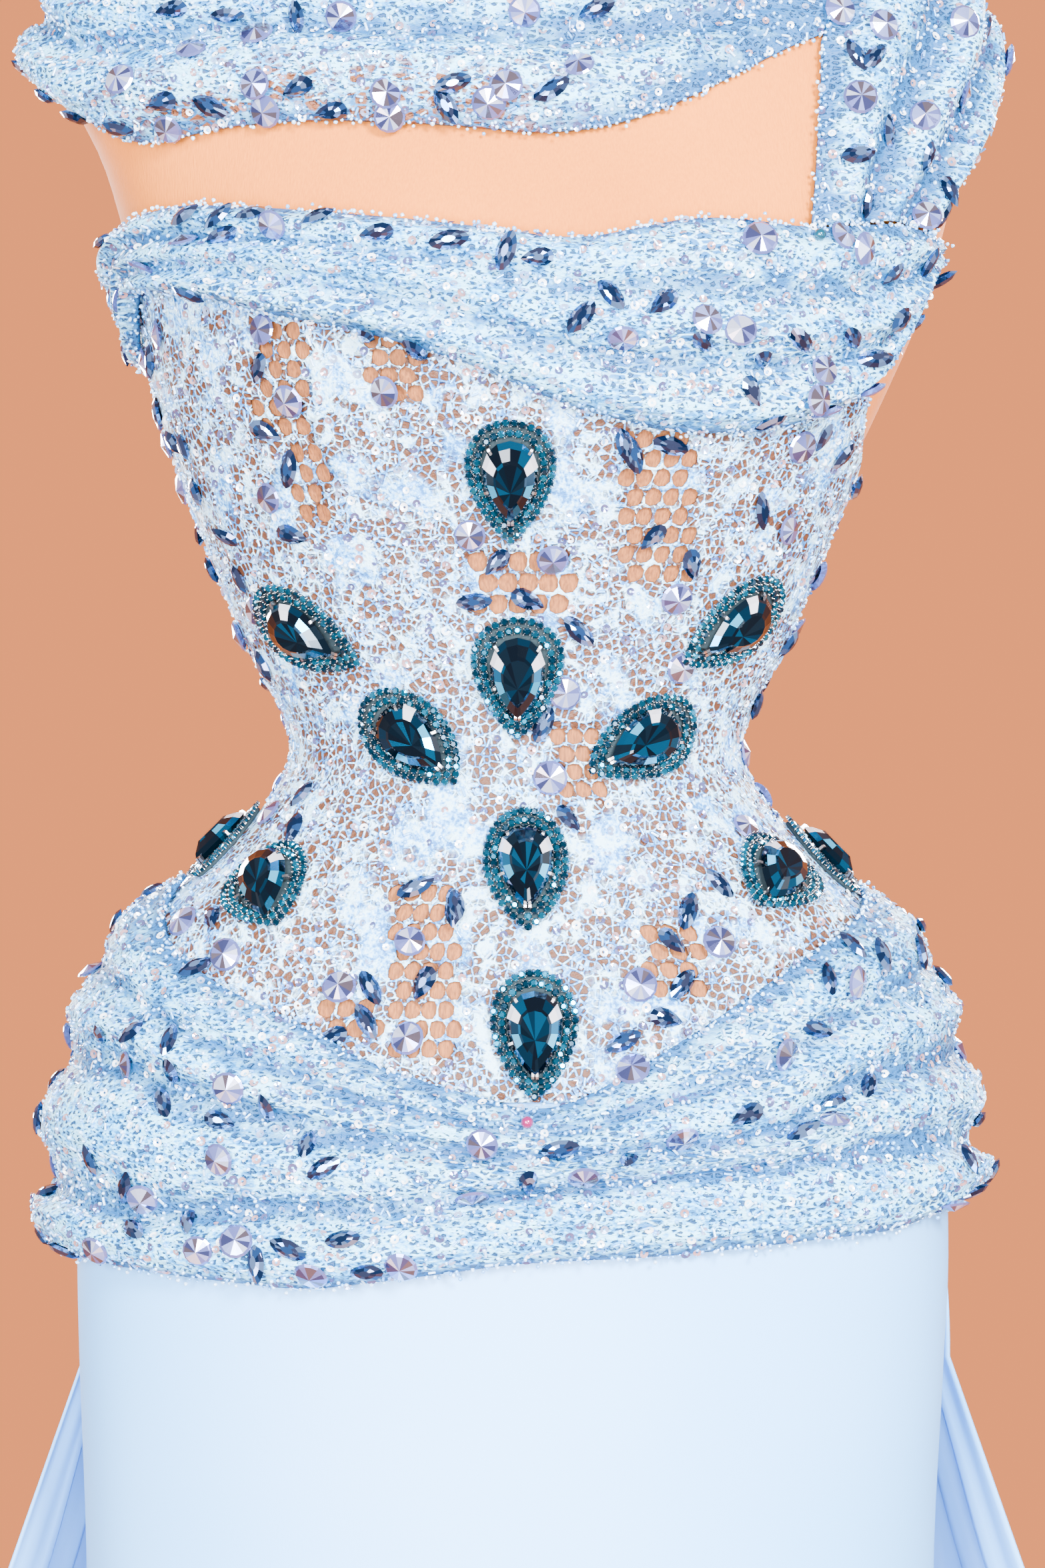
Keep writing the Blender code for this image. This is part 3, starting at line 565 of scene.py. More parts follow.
def turned_piece(name, node, profile, made, sides=64):
    # A round piece from rows of radius and height, low to high, closed at both ends.
    radius, height = np.array(profile).T[:, :, None]
    angle = np.linspace(0, 2 * math.pi, sides, endpoint=False)
    points = np.stack((radius * np.sin(angle), -radius * np.cos(angle), height + angle * 0), axis=-1)
    faces = grid_faces(len(profile), sides, True)[:, ::-1].tolist() + end_faces(len(profile), sides)
    piece = add_mesh(name, points.reshape(-1, 3), faces, [made])
    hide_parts(node)
    piece.modifiers.new("crease", "EDGE_SPLIT").split_angle = 40 * DEG


def stand_pieces(steel, wood):
    cap = [(56, 1489.3), (56.5, 1492), (56, 1498), (53, 1501), (46, 1504), (34, 1509), (22, 1512), (14, 1514),
           (11, 1517), (10, 1521), (11, 1526), (10.5, 1530), (8, 1533), (4, 1534)]
    turned_piece("cap_turned", "form_neck_cap", cap, wood)
    pole = [(16, 12.3), (16, 200), (16, 450), (16, 689.7)]
    turned_piece("pole_tube", "form_pole", pole, steel, 48)
    plate = [(121, 0), (124, 2), (124, 8), (123, 10), (120, 11.4), (110, 12), (30, 12)]
    turned_piece("base_plate", "form_base", plate, steel, 96)


def lining_pieces(made):
    for name, start, end in HALVES:
        turns = np.linspace(start * DEG + SEAM_GAP / 90, end * DEG - SEAM_GAP / 90, 64)
        down = np.linspace(0, 1, 34)[:, None]
        heights = BODICE_TOP(turns) * (1 - down) + HIP_SEAM * down
        outer, inner = (layer(FORM_ROWS, turns, heights, out) for out in (LINING_OUT, LINING_IN))
        add_wall("nude_lining_" + name, ["lining_" + name], outer, inner, made, "nude_lining")


# Open net patches: left, top, right, bottom in the picture, holes across and down.
NET_PATCHES = (
    (368, 482, 450, 650, 3, 6),
    (428, 660, 480, 780, 2, 4),
    (540, 496, 622, 600, 3, 4),
    (930, 640, 1040, 870, 4, 8),
    (700, 822, 856, 918, 5, 3),
    (826, 1090, 904, 1200, 3, 4),
    (578, 1330, 680, 1590, 4, 9),
    (470, 1500, 560, 1560, 3, 2),
    (964, 1390, 1054, 1500, 3, 4),
)
BACK_PATCHES = ((150, 1110, 3, 3), (-145, 1060, 3, 3), (175, 1010, 3, 3))
FLAT_STEP = 130
HOLE_SIDES = 9
LACE_MESH = 5.0


def rounded_hole(x, y, half_width, half_height, seed):
    # A rounded, slightly uneven hole in the flat layout.
    hole = []
    for side in range(HOLE_SIDES):
        angle = side * 2 * math.pi / HOLE_SIDES + 0.3
        reach = 1.08 + 0.07 * math.sin(seed * 2.7 + side * 2.2)
        across = math.copysign(abs(math.cos(angle)) ** 0.9, math.cos(angle))
        up = math.copysign(abs(math.sin(angle)) ** 0.9, math.sin(angle))
        hole.append((x + half_width * reach * across, y + half_height * reach * up))
    return hole


def net_holes():
    # Holes of all net patches in the flat layout, front then back.
    holes = []
    for left, top, right, bottom, across, down in NET_PATCHES:
        for row in range(down):
            for column in range(across):
                shift = 0.5 if row % 2 else 0.0
                if column + shift > across - 0.5:
                    continue
                px = left + (column + 0.5 + shift) * (right - left) / across
                py = top + (row + 0.5) * (bottom - top) / down
                turn, height = seen(px, py)
                ends = section_spots(FORM_ROWS, np.array((turn, turn + 0.01)), np.array((height, height)))
                half_width = 0.43 * (right - left) / across * PICTURE_STEP
                half_width *= FLAT_STEP / (np.linalg.norm(ends[1] - ends[0]) / 0.01)
                half_height = 0.43 * (bottom - top) / down * PICTURE_STEP
                hole = rounded_hole(turn * FLAT_STEP, height, half_width, half_height, row * 3.1 + column)
                holes.append(hole)
    for turn, height, across, down in BACK_PATCHES:
        turn = turn if turn > 0 else turn + 360
        for row in range(down):
            for column in range(across):
                x = turn * DEG * FLAT_STEP + (column - (across - 1) / 2 + (0.5 if row % 2 else 0)) * 10
                y = height + (row - (down - 1) / 2) * 7.6
                holes.append(rounded_hole(x, y, 3.4, 2.8, row * 3.1 + column))
    return holes


def inside(polygon, x, y):
    # Which of many spots lie inside a polygon.
    result = np.zeros(np.shape(x), bool)
    for (ax, ay), (bx, by) in zip(polygon, polygon[1:] + polygon[:1]):
        crosses = (ay > y) != (by > y)
        if by != ay:
            result ^= crosses & (x < (bx - ax) * (y - ay) / (by - ay) + ax)
    return result


def lace_piece(name, start, end, holes, made):
    # A lace panel cut through at its net holes.
    base = HIP_SEAM - 3
    turns = np.linspace(start, end, 70)
    tops = BODICE_TOP(turns)
    side_steps = 36
    right_side = np.linspace(base, tops[-1], side_steps)[1:-1]
    left_side = np.linspace(tops[0], base, side_steps)[1:-1]
    outline = [(turn * FLAT_STEP, base) for turn in turns]
    outline += [(end * FLAT_STEP, level) for level in right_side]
    outline += [(turn * FLAT_STEP, top) for turn, top in zip(turns[::-1], tops[::-1])]
    outline += [(start * FLAT_STEP, level) for level in left_side]
    kept = [hole for hole in holes
            if start * FLAT_STEP + 8 < hole[0][0] < end * FLAT_STEP - 8
            and base + 6 < hole[0][1] < float(BODICE_TOP(np.array(hole[0][0] / FLAT_STEP))) - 8]
    flat = list(outline)
    loops = [list(range(len(outline)))]
    for hole in kept:
        loops.append(list(range(len(flat), len(flat) + len(hole))))
        flat += hole
    columns = np.arange(start * FLAT_STEP, end * FLAT_STEP, LACE_MESH)
    x, y = np.meshgrid(columns, np.arange(base, 1300, LACE_MESH))
    x = (x + (np.arange(x.shape[0])[:, None] % 2) * LACE_MESH / 2).ravel()
    y = y.ravel()
    limit = BODICE_TOP(x / FLAT_STEP)
    keep = (x > start * FLAT_STEP + 2) & (x < end * FLAT_STEP - 2) & (y > base + 2) & (y < limit - 2)
    middles = np.array([np.mean(hole, axis=0) for hole in kept])
    for mx, my in middles:
        keep &= np.hypot(x - mx, y - my) > 4.6
    flat += list(zip(x[keep].tolist(), y[keep].tolist()))
    edges = []
    for loop in loops:
        edges += list(zip(loop, loop[1:] + loop[:1]))
    result = delaunay_2d_cdt([Vector(pair) for pair in flat], edges, [], 0, 1e-5)
    spots = np.array([tuple(spot) for spot in result[0]])
    faces = np.array([tuple(face) for face in result[2] if len(face) == 3])
    centre = spots[faces].mean(axis=1)
    good = inside(outline, centre[:, 0], centre[:, 1])
    for hole, (mx, my) in zip(kept, middles):
        close = np.hypot(centre[:, 0] - mx, centre[:, 1] - my) < 8
        good[close] &= ~inside(hole, centre[close, 0], centre[close, 1])
    faces = faces[good]
    crumple = 0.25 * np.sin(spots[:, 0] * 0.9 + 2 * np.sin(spots[:, 1] * 0.31)) * np.sin(spots[:, 1] * 0.8)
    outer = layer(FORM_ROWS, spots[:, 0] / FLAT_STEP, spots[:, 1], LACE_OUT + crumple)
    inner = layer(FORM_ROWS, spots[:, 0] / FLAT_STEP, spots[:, 1], LACE_IN + crumple * 0.5)
    sides = [pair for face in faces.tolist() for pair in zip(face, face[1:] + face[:1])]
    known = set(sides)
    count = len(spots)
    walls = faces.tolist() + (faces[:, ::-1] + count).tolist()
    walls += [[second, first, first + count, second + count]
              for first, second in sides if (second, first) not in known]
    piece = add_mesh("lace_bodice_" + name, np.vstack((outer, inner)), walls, [made])
    cut_of_cloth(piece, "lace_" + name)


def lace_pieces(made):
    holes = net_holes()
    for name, start, end in HALVES:
        lace_piece(name, start * DEG + SEAM_GAP / 90, end * DEG - SEAM_GAP / 90, holes, made)


def between(first, second, share):
    # A course part way between two courses.
    return lambda turn: first(turn) * (1 - share) + second(turn) * share


def bust_drape_piece(made):
    shares = (0.0, 0.14, 0.32, 0.5, 0.66, 0.86, 1.0)
    lifts = (0.6, 6.0, 2.0, 7.0, 2.4, 6.4, 0.6)
    lines = [between(BUST_TOP, BUST_LOW, share) for share in shares]
    columns = np.linspace(-112, 70, 190) * DEG

    def fade(turn):
        right_end = np.clip((74 - turn / DEG) / 16, 0.25, 1)
        return (0.75 + 0.35 * np.sin((turn / DEG + 100) * DEG * 0.9)) * right_end

    def on(turn, height):
        return DRAPE_ON

    outer, inner, fold = drape_grid(columns, lines, lifts, on, FORM_ROWS, 60, fade, 0.45, 1.0)
    add_wall("bust_drape_lace", ["bust_drape"], outer, inner, made, "draped_lace", fold=fold)
    return outer


# The strap over the right shoulder: turn and height of its inner edge, then of its outer edge.
STRAP_ROWS = np.array((
    (39.5, 1268, 66, 1264.5),
    (38.5, 1300, 75, 1292),
    (38.0, 1335, 87, 1321),
    (42.0, 1367, 96, 1336),
    (60.0, 1389, 99, 1346),
    (90.0, 1401, 102, 1350),
    (120.0, 1391, 106, 1346),
    (138.0, 1367, 110, 1336),
    (143.0, 1335, 113, 1318),
    (145.0, 1300, 115, 1290),
    (147.0, 1250, 117, 1242),
    (148.0, 1205, 118, 1198),
    (149.0, 1158, 119, 1155.5),
))


def strap_piece(made):
    along = np.linspace(0, len(STRAP_ROWS) - 1, 150)
    index = np.arange(len(STRAP_ROWS))
    turn_in, height_in, turn_out, height_out = (np.interp(along, index, values) for values in STRAP_ROWS.T)
    share = np.linspace(0, 1, 44)
    turn = (turn_in[:, None] * (1 - share) + turn_out[:, None] * share) * DEG
    height = height_in[:, None] * (1 - share) + height_out[:, None] * share
    low_front = BUST_TOP(turn[0]) + 1.2
    low_back = BODICE_TOP(turn[-1]) + 1.5
    near_front = np.clip(1 - along / 1.0, 0, 1)[:, None]
    near_back = np.clip((along - (len(STRAP_ROWS) - 2)) / 1.0, 0, 1)[:, None]
    height = height + near_front * (low_front - height[0]) + near_back * (low_back - height[-1])
    flute = STRAP_FLUTE * np.sin(share * math.pi * 3 + 0.12 * np.sin(along[:, None] * 1.7)) ** 2
    fine = 0.5 * np.sin(share * 31 + np.sin(along[:, None] * 2.1) * 1.4)
    edge = np.clip(np.minimum(share, 1 - share) * 12, 0, 1)
    start = STRAP_ON + flute * (1 - 0.4 * near_front) + fine * edge
    outer = layer(FORM_ROWS, turn, height, start + STRAP_THICK)[:, ::-1]
    inner = layer(FORM_ROWS, turn, height, start)[:, ::-1]
    fold = np.clip((start - STRAP_ON) / STRAP_FLUTE, 0, 1)[:, ::-1]
    add_wall("shoulder_strap_lace", ["shoulder_strap"], outer, inner, made, "draped_lace", fold=fold)
    return outer


def upper_drape_piece(made):
    shares = (0.0, 0.16, 0.32, 0.47, 0.6, 0.74, 0.88, 1.0)
    lifts = (0.4, 8.0, 3.0, 10.5, 3.0, 11.0, 8.0, 1.5)
    lines = [between(UPPER_TOP, UPPER_LOW, share) for share in shares]
    columns = np.linspace(-224, 44, 250) * DEG

    def fade(turn):
        from_end = np.minimum(turn / DEG + 224, 44 - turn / DEG)
        return 0.05 + 0.95 * np.clip((from_end - 9) / 40, 0, 1)

    def on(turn, height):
        return UPPER_ON

    outer, inner, fold = drape_grid(columns, lines, lifts, on, FORM_ROWS, 64, fade, 0.6, 2.3)
    down = np.linspace(0, 1, outer.shape[0])[:, None]
    turns = columns / DEG
    bare = np.clip((down - 0.66) / 0.14, 0, 1)
    bare = bare * np.clip((turns + 62) / 14, 0, 1) * np.clip((12 - turns) / 14, 0, 1)
    add_wall("upper_drape_lace", ["upper_drape"], outer, inner, made, "draped_lace", fold=fold, bare=bare)
    return outer


def hip_drape_piece(made):
    lines = [
        HIP_TOP, between(HIP_TOP, HIP_FOLD_HIGH, 0.3), between(HIP_TOP, HIP_FOLD_HIGH, 0.5),
        between(HIP_TOP, HIP_FOLD_HIGH, 0.75), HIP_FOLD_HIGH, between(HIP_FOLD_HIGH, HIP_FOLD_LOW, 0.45),
        HIP_FOLD_LOW, between(HIP_FOLD_LOW, HIP_LOW, 0.35), between(HIP_FOLD_LOW, HIP_LOW, 0.8), HIP_LOW,
    ]
    lifts = (0.4, 5.0, 2.2, 6.5, 1.6, 8.5, 1.8, 8.5, 6.0, 0.8)

    def on(turn, height):
        behind = np.maximum(0, -np.cos(turn))
        low = np.clip((925 - height) / 20, 0, 1)
        return DRAPE_ON + 2.4 * np.minimum(behind * 12, 1) * low

    def fade(turn):
        return np.ones(turn.shape)

    columns = np.linspace(-180, 180, 264, endpoint=False) * DEG
    outer, inner, fold = drape_grid(columns, lines, lifts, on, CLOTH_ROWS, 76, fade, 0.6, 4.1)
    add_wall("hip_drape_lace", ["hip_drape"], outer, inner, made, "draped_lace", True, fold=fold)
    return outer


def skirt_pieces(made):
    for name, start, end in HALVES:
        turns = np.linspace(start * DEG + SEAM_GAP / 100, end * DEG - SEAM_GAP / 100, 90)
        heights = np.concatenate((np.linspace(HIP_SEAM - 0.3, 812, 14), np.linspace(800, 5, 42)))[:, None]
        turn, height = alike(turns, heights)
        hang = np.clip((880 - height) / 250, 0, 1)
        creases = 1.2 * np.sin(turn * 7 + np.sin(height * 0.006) * 1.5)
        creases = creases + 0.8 * np.sin(turn * 13 + height * 0.004)
        creases = creases * hang * (0.35 + 0.65 * np.clip((700 - height) / 500, 0, 1))
        outer = layer(CLOTH_ROWS, turn, height, SKIRT_OUT + creases)
        inner = layer(CLOTH_ROWS, turn, height, SKIRT_OUT - SKIRT_THICK + creases)
        add_wall("satin_skirt_" + name, ["skirt_" + name], outer, inner, made, "satin")


# The train: height, half width, depth behind, where its ends stand in depth, pleat height (mm).
TRAIN_ROWS = np.array((
    (900, 176, 124, 12, 0.2),
    (856, 177, 128, 20, 1.2),
    (812, 175, 118, 32, 3.5),
    (730, 201, 152, 40, 6.5),
    (480, 286, 280, 44, 9.0),
    (240, 366, 429, 48, 10.5),
    (1.5, 442, 610, 52, 12.0),
))
TRAIN_PLEATS = 15
PLEAT_COLUMNS = 14
TRAIN_FINE_THICK = 1.2
TRAIN_JOIN = 812


def train_grid():
    # The middle of the train's cloth: it hugs the hips above TRAIN_JOIN and stands free below it.
    columns = TRAIN_PLEATS * PLEAT_COLUMNS + 1
    heights = np.concatenate((np.linspace(900, TRAIN_JOIN, 14), np.linspace(804, 1.5, 62)))
    share = np.linspace(0, 1, columns)[None, :]
    wide, deep, start, pleat = (
        np.interp(-heights, -TRAIN_ROWS[:, 0], values)[:, None] for values in TRAIN_ROWS.T[1:])
    wander = 0.25 * np.sin(heights / 160)[:, None] * np.clip((TRAIN_JOIN - heights) / 400, 0, 1)[:, None]
    wave = np.cos((share * TRAIN_PLEATS + wander * np.sin(share * 19)) * 2 * math.pi)
    soft = np.sign(wave) * np.abs(wave) ** 0.8
    turn, height = alike((103 + 154 * share) * DEG, heights[:, None])
    middle = TRAIN_ON + TRAIN_THICK / 2 + pleat * (1 + wave)
    hugging = layer(CLOTH_ROWS, turn, height, middle)
    angle = (90 + 180 * share) * DEG
    body = np.stack((wide * np.sin(angle), start - deep * np.cos(angle), height), axis=-1)
    away = unit(np.stack((np.sin(angle) / wide, -np.cos(angle) / deep, np.zeros(turn.shape)), axis=-1))
    ripple = 0.2 * np.cos(share * TRAIN_PLEATS * 6 * math.pi + 1.2 + np.sin(heights / 130)[:, None])
    free = body + away * (pleat * (soft * 0.85 + ripple))[..., None]
    mixed = np.clip((heights - TRAIN_JOIN) / 44, 0, 1)[:, None, None]
    return hugging * mixed + free * (1 - mixed)


def train_piece(made):
    points = train_grid()
    across = np.gradient(points, axis=1)
    down = np.gradient(points, axis=0)
    away = unit(np.cross(down, across)) * TRAIN_FINE_THICK / 2
    outer = points + away
    inner = points - away
    outer[-1, :, 2] = TRAIN_ROWS[-1, 0]
    inner[-1, :, 2] = TRAIN_ROWS[-1, 0]
    add_wall("satin_train", ["train_right", "train_middle", "train_left"], outer, inner, made, "satin")


def copied(template, origins, axes, scales):
    # The points of a small shape at every origin, along its axes and at its scale.
    return origins[:, None, :] + np.einsum("kj,njc->nkc", template, axes) * np.asarray(scales)[:, None, None]


def scatter(name, shape, origins, axes, scales, materials, random=None, smooth=False):
    # Many copies of one small shape joined in one piece; random picks each copy's material.
    template, faces = shape
    offsets = (np.arange(len(origins)) * len(template))[:, None, None]
    tones = random.integers(0, len(materials), len(origins)) if random else np.zeros(len(origins))
    flat = []
    indices = []
    for size in sorted({len(face) for face in faces}):
        group = np.array([face for face in faces if len(face) == size])
        flat += (group[None] + offsets).reshape(-1, size).tolist()
        indices.append(np.repeat(tones, len(group)))
    points = copied(template, origins, axes, scales)
    add_mesh(name, points.reshape(-1, 3), flat, materials, np.concatenate(indices), smooth)


def frames_at(normals, directions):
    # Right, up and outward axes from outward normals and rough up directions.
    right = unit(np.cross(directions, normals))
    up = np.cross(normals, right)
    return np.stack((right, up, normals), axis=1)


def spin(axes, angles):
    # The same axes turned about their outward axis.
    cosine = np.cos(angles)[:, None]
    sine = np.sin(angles)[:, None]
    right = axes[:, 0] * cosine + axes[:, 1] * sine
    up = -axes[:, 0] * sine + axes[:, 1] * cosine
    return np.stack((right, up, axes[:, 2]), axis=1)


def tilt(axes, amounts):
    # Lean each outward axis a little.
    outward = unit(axes[:, 2] + axes[:, 0] * amounts[:, :1] + axes[:, 1] * amounts[:, 1:])
    return frames_at(outward, axes[:, 1])


def spots_on(grid, count, random, ring=False):
    # Random spots of a grid of points, even by area, with outward axes.
    if ring:
        grid = np.concatenate((grid, grid[:, :1]), axis=1)
    first = grid[:-1, :-1]
    down = grid[1:, :-1] - first
    across = grid[:-1, 1:] - first
    normal = np.cross(down, across)
    area = np.linalg.norm(normal, axis=-1).ravel()
    chosen = random.choice(len(area), count, p=area / area.sum())
    first, down, across, normal = (values.reshape(-1, 3)[chosen] for values in (first, down, across, normal))
    u = random.random(count)[:, None]
    v = random.random(count)[:, None]
    return first + across * u + down * v, frames_at(unit(normal), -unit(down))


NEIGHBOURS = np.array([(x, y, z) for x in (-1, 0, 1) for y in (-1, 0, 1) for z in (-1, 0, 1)])


def apart(origins, gap):
    # Which spots stay at least a gap from the earlier ones.
    kept = []
    cells = {}
    for index, point in enumerate(origins):
        home = (point // gap).astype(int)
        near = [other for cell in NEIGHBOURS + home for other in cells.get(tuple(cell), ())]
        if all(np.sum((other - point) ** 2) >= gap * gap for other in near):
            kept.append(index)
            cells.setdefault(tuple(home), []).append(point)
    return np.array(kept, dtype=int)


RIVOLI_SIDES = 14


def ring_faces(rings, sides):
    # Faces between stacked rings, low to high.
    return [(low + side, low + (side + 1) % sides, low + sides + (side + 1) % sides, low + sides + side)
            for low in range(0, (rings - 1) * sides, sides) for side in range(sides)]


def fan_faces(low, sides, top):
    # Faces from one ring to a point.
    return [(low + side, low + (side + 1) % sides, top) for side in range(sides)]


def ring_shape(radii, heights, sides, capped=False):
    # Stacked round rings; a capped shape is closed at its top.
    angles = np.arange(sides) * 2 * math.pi / sides
    points = [(radius * math.cos(angle), radius * math.sin(angle), height)
              for radius, height in zip(radii, heights) for angle in angles]
    faces = ring_faces(len(radii), sides)
    if capped:
        faces.append(tuple(range(len(points) - sides, len(points))))
    return np.array(points), faces


# Width and length of each long stone (mm), and how often the hidden stones are round or pear shaped.
NAVETTE = (7.3, 15.4)
PEAR = (8.3, 13.8)
GEM_SIDES = 12
ROUND_SHARE = 0.38
PEAR_SHARE = 0.38


def rivoli_shape():
    # A round stone whose facets rise to a point, over a shallow foil back.
    points, faces = ring_shape((4.2, 6.5, 5.6), (0.2, 1.5, 2.3), RIVOLI_SIDES)
    faces += fan_faces(2 * RIVOLI_SIDES, RIVOLI_SIDES, len(points))
    return np.vstack((points, (0, 0, 3.9))), faces


# Heights of a small stone's back ring, girdle, crown and table, and their shares of its outline.
GEM_HEIGHTS = (0.2, 1.5, 3.0, 3.5)
GEM_SHARES = (0.7, 1.0, 0.66, 0.34)


def gem_shape(width, length, pointed, sides, heights=GEM_HEIGHTS, shares=GEM_SHARES, fan=False):
    # A navette or pear stone; fan splits its table into facets whose tones are painted inner reflections.
    angles = np.arange(sides) * 2 * math.pi / sides
    x = np.sin(angles) * np.abs(np.sin(angles / 2)) ** 0.7 * 1.12
    if pointed:
        x = np.copysign(np.abs(np.sin(angles)) ** 1.25, np.sin(angles))
    points = [(share * width / 2 * across, -share * length / 2 * math.cos(angle), height)
              for height, share in zip(heights, shares) for across, angle in zip(x, angles)]
    faces = ring_faces(len(heights), sides)
    last = len(points) - sides
    if fan:
        faces += fan_faces(last, sides, len(points))
        points.append((0, -0.08 * length, heights[-1]))
    else:
        faces.append(tuple(range(last, len(points))))
    return np.array(points), faces


def place_gems(name, shape, origins, axes, scales, materials, random, chosen=None, spare=0):
    # Faceted stones joined in one piece, each facet with a random tone, partly the stone's own colour and
    # partly painted inner reflections; chosen lists the facets of each stone that have a tone of their own,
    # and the last spare tones are for those facets only.
    points, faces = shape
    all_faces = []
    tones = []
    for index in range(len(origins)):
        picks = random.integers(0, len(materials) - spare, len(faces))
        for facets, tone in chosen[index] if chosen else ():
            picks[list(facets)] = tone
        tones.append(picks)
        all_faces += [[corner + index * len(points) for corner in face] for face in faces]
    placed = copied(points, origins, axes, scales)
    add_mesh(name, placed.reshape(-1, 3), all_faces, materials, np.concatenate(tones), False)


# The twelve jewels: middle and tip direction in the picture; the last two are placed by turn and height.
JEWEL_SPOTS = (
    (766, 715, 766, 815), (777, 1014, 777, 1110), (790, 1308, 790, 1400), (803, 1556, 803, 1650),
    (455, 942, 540, 997), (1105, 932, 1029, 997), (621, 1111, 695, 1187), (964, 1113, 868, 1170),
    (395, 1341, 463, 1420), (1172, 1325, 1093, 1387),
)
SIDE_JEWELS = ((-84, 1020, 40), (84, 1014, -40))
JEWEL_WIDTH = 36
JEWEL_LENGTH = 49.5
# The big stone: width and length, and its rings' heights and shares of its outline; where the prongs stand.
BIG_STONE = (23.6, 33.6)
BIG_HEIGHTS = (0.2, 2.4, 4.6, 6.6, 7.3)
BIG_SHARES = (0.8, 1.0, 0.86, 0.60, 0.52)
PRONG_RING = (24.0, 34.0)
CHAIN_STEP = 3.1
SEATED = 1.2
# The plate's rings: share of the jewel's outline and height over the lace.
PLATE_RINGS = ((0.92, -0.7), (0.95, -0.3), (0.95, 0.5), (0.92, 0.9), (0.55, 1.1))
PLATE_SIDES = 40
# Width and length of the two rows of chain stones, and where a stone's claws and a jewel's prongs stand.
HALO_ROWS = ((27.0, 38.8), (33.8, 46.8))
CLAW_CORNERS = ((1.25, 1.25), (-1.25, 1.25), (1.25, -1.25), (-1.25, -1.25))
PRONG_ANGLES = np.array((0.25, 1.35, 2.5, 3.78, 4.93, 6.03))


def jewel_places():
    # Turn, height and lean of every jewel.
    places = [(*seen(px, py), math.atan2(tip_x - px, tip_y - py)) for px, py, tip_x, tip_y in JEWEL_SPOTS]
    return places + [(turn * DEG, height, lean * DEG) for turn, height, lean in SIDE_JEWELS]


def pear_outline(width, length, angles):
    x = width / 2 * 1.12 * np.sin(angles) * np.abs(np.sin(angles / 2)) ** 0.7
    return np.stack((x, -length / 2 * np.cos(angles)), axis=-1)


def even_steps(width, length, gap):
    # Spots spaced evenly along a pear outline.
    angles = np.linspace(0, 2 * math.pi, 721)
    outline = pear_outline(width, length, angles)
    run = np.concatenate(((0,), np.cumsum(np.linalg.norm(np.diff(outline, axis=0), axis=1))))
    count = int(round(run[-1] / gap))
    return pear_outline(width, length, np.interp(np.arange(count) * run[-1] / count, run, angles))


class Patch:
    # A small area of the lace about one spot, with its own right and up.
    def __init__(self, turn, height, lean):
        self.turn = turn
        self.height = height
        self.lean = lean
        ends = section_spots(FORM_ROWS, np.array((turn - 0.01, turn + 0.01)), np.array((height, height)))
        self.wide = np.linalg.norm(ends[1] - ends[0]) / 0.02
        ends = section_spots(FORM_ROWS, np.array((turn, turn)), np.array((height - 1, height + 1)))
        self.tall = np.linalg.norm(ends[1] - ends[0]) / 2

    def at(self, flat, out):
        x = flat[..., 0] * math.cos(self.lean) - flat[..., 1] * math.sin(self.lean)
        y = flat[..., 0] * math.sin(self.lean) + flat[..., 1] * math.cos(self.lean)
        turn = self.turn + x / self.wide
        height = self.height + y / self.tall
        return layer(FORM_ROWS, turn, height, JEWEL_ON + out + x * 0)

    def axes(self, flat):
        step = np.array((0.5, 0.0))
        rise = np.array((0.0, 0.5))
        right = unit(self.at(flat + step, 0) - self.at(flat - step, 0))
        up = unit(self.at(flat + rise, 0) - self.at(flat - rise, 0))
        normal = unit(np.cross(right, up))
        return frames_at(normal, up)


def jewel_facets(lean):
    # Facets of a big stone with their tones: painted glints at its top corners and painted flashes low down,
    # both highlights of the lights, and painted shade at its dark top and tip.
    right = (21, 37)
    left = (26, 42)
    corners = right if lean > 0 else left
    if abs(lean) < 10 * DEG:
        corners = right + left
    return (corners, 5), ((35, 44), 6), ((39, 40, 55, 56, 48, 63, 64, 79), 3)


def setting_plates(patches, made):
    # The low plate under each jewel, painted near black as the shade between and under its stones.
    outline = np.linspace(0, 2 * math.pi, PLATE_SIDES, endpoint=False)
    points = []
    faces = []
    for number, patch in enumerate(patches):
        rings = [patch.at(pear_outline(JEWEL_WIDTH * share, JEWEL_LENGTH * share, outline), out)
                 for share, out in PLATE_RINGS]
        start = number * len(rings) * PLATE_SIDES
        points += rings
        faces += (grid_faces(len(rings), PLATE_SIDES, True)[:, ::-1] + start).tolist()
        faces += [[start + corner for corner in face] for face in end_faces(len(rings), PLATE_SIDES)]
    plate = add_mesh("jewel_settings", np.concatenate(points), faces, [made])
    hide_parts(*("jewel_%02d" % (number + 1) for number in range(len(patches))))


def prong_shape():
    # A square prong that leans over the stone.
    corners = ((-1, -1), (1, -1), (1, 1), (-1, 1))
    prong = np.array([(x * 0.55, y * 0.8 + lean, z) for lean, z in ((0, 0.0), (0.5, 3.2), (1.4, 3.6))
                      for x, y in corners])
    return prong, ring_faces(3, 4) + [(8, 9, 10, 11)]


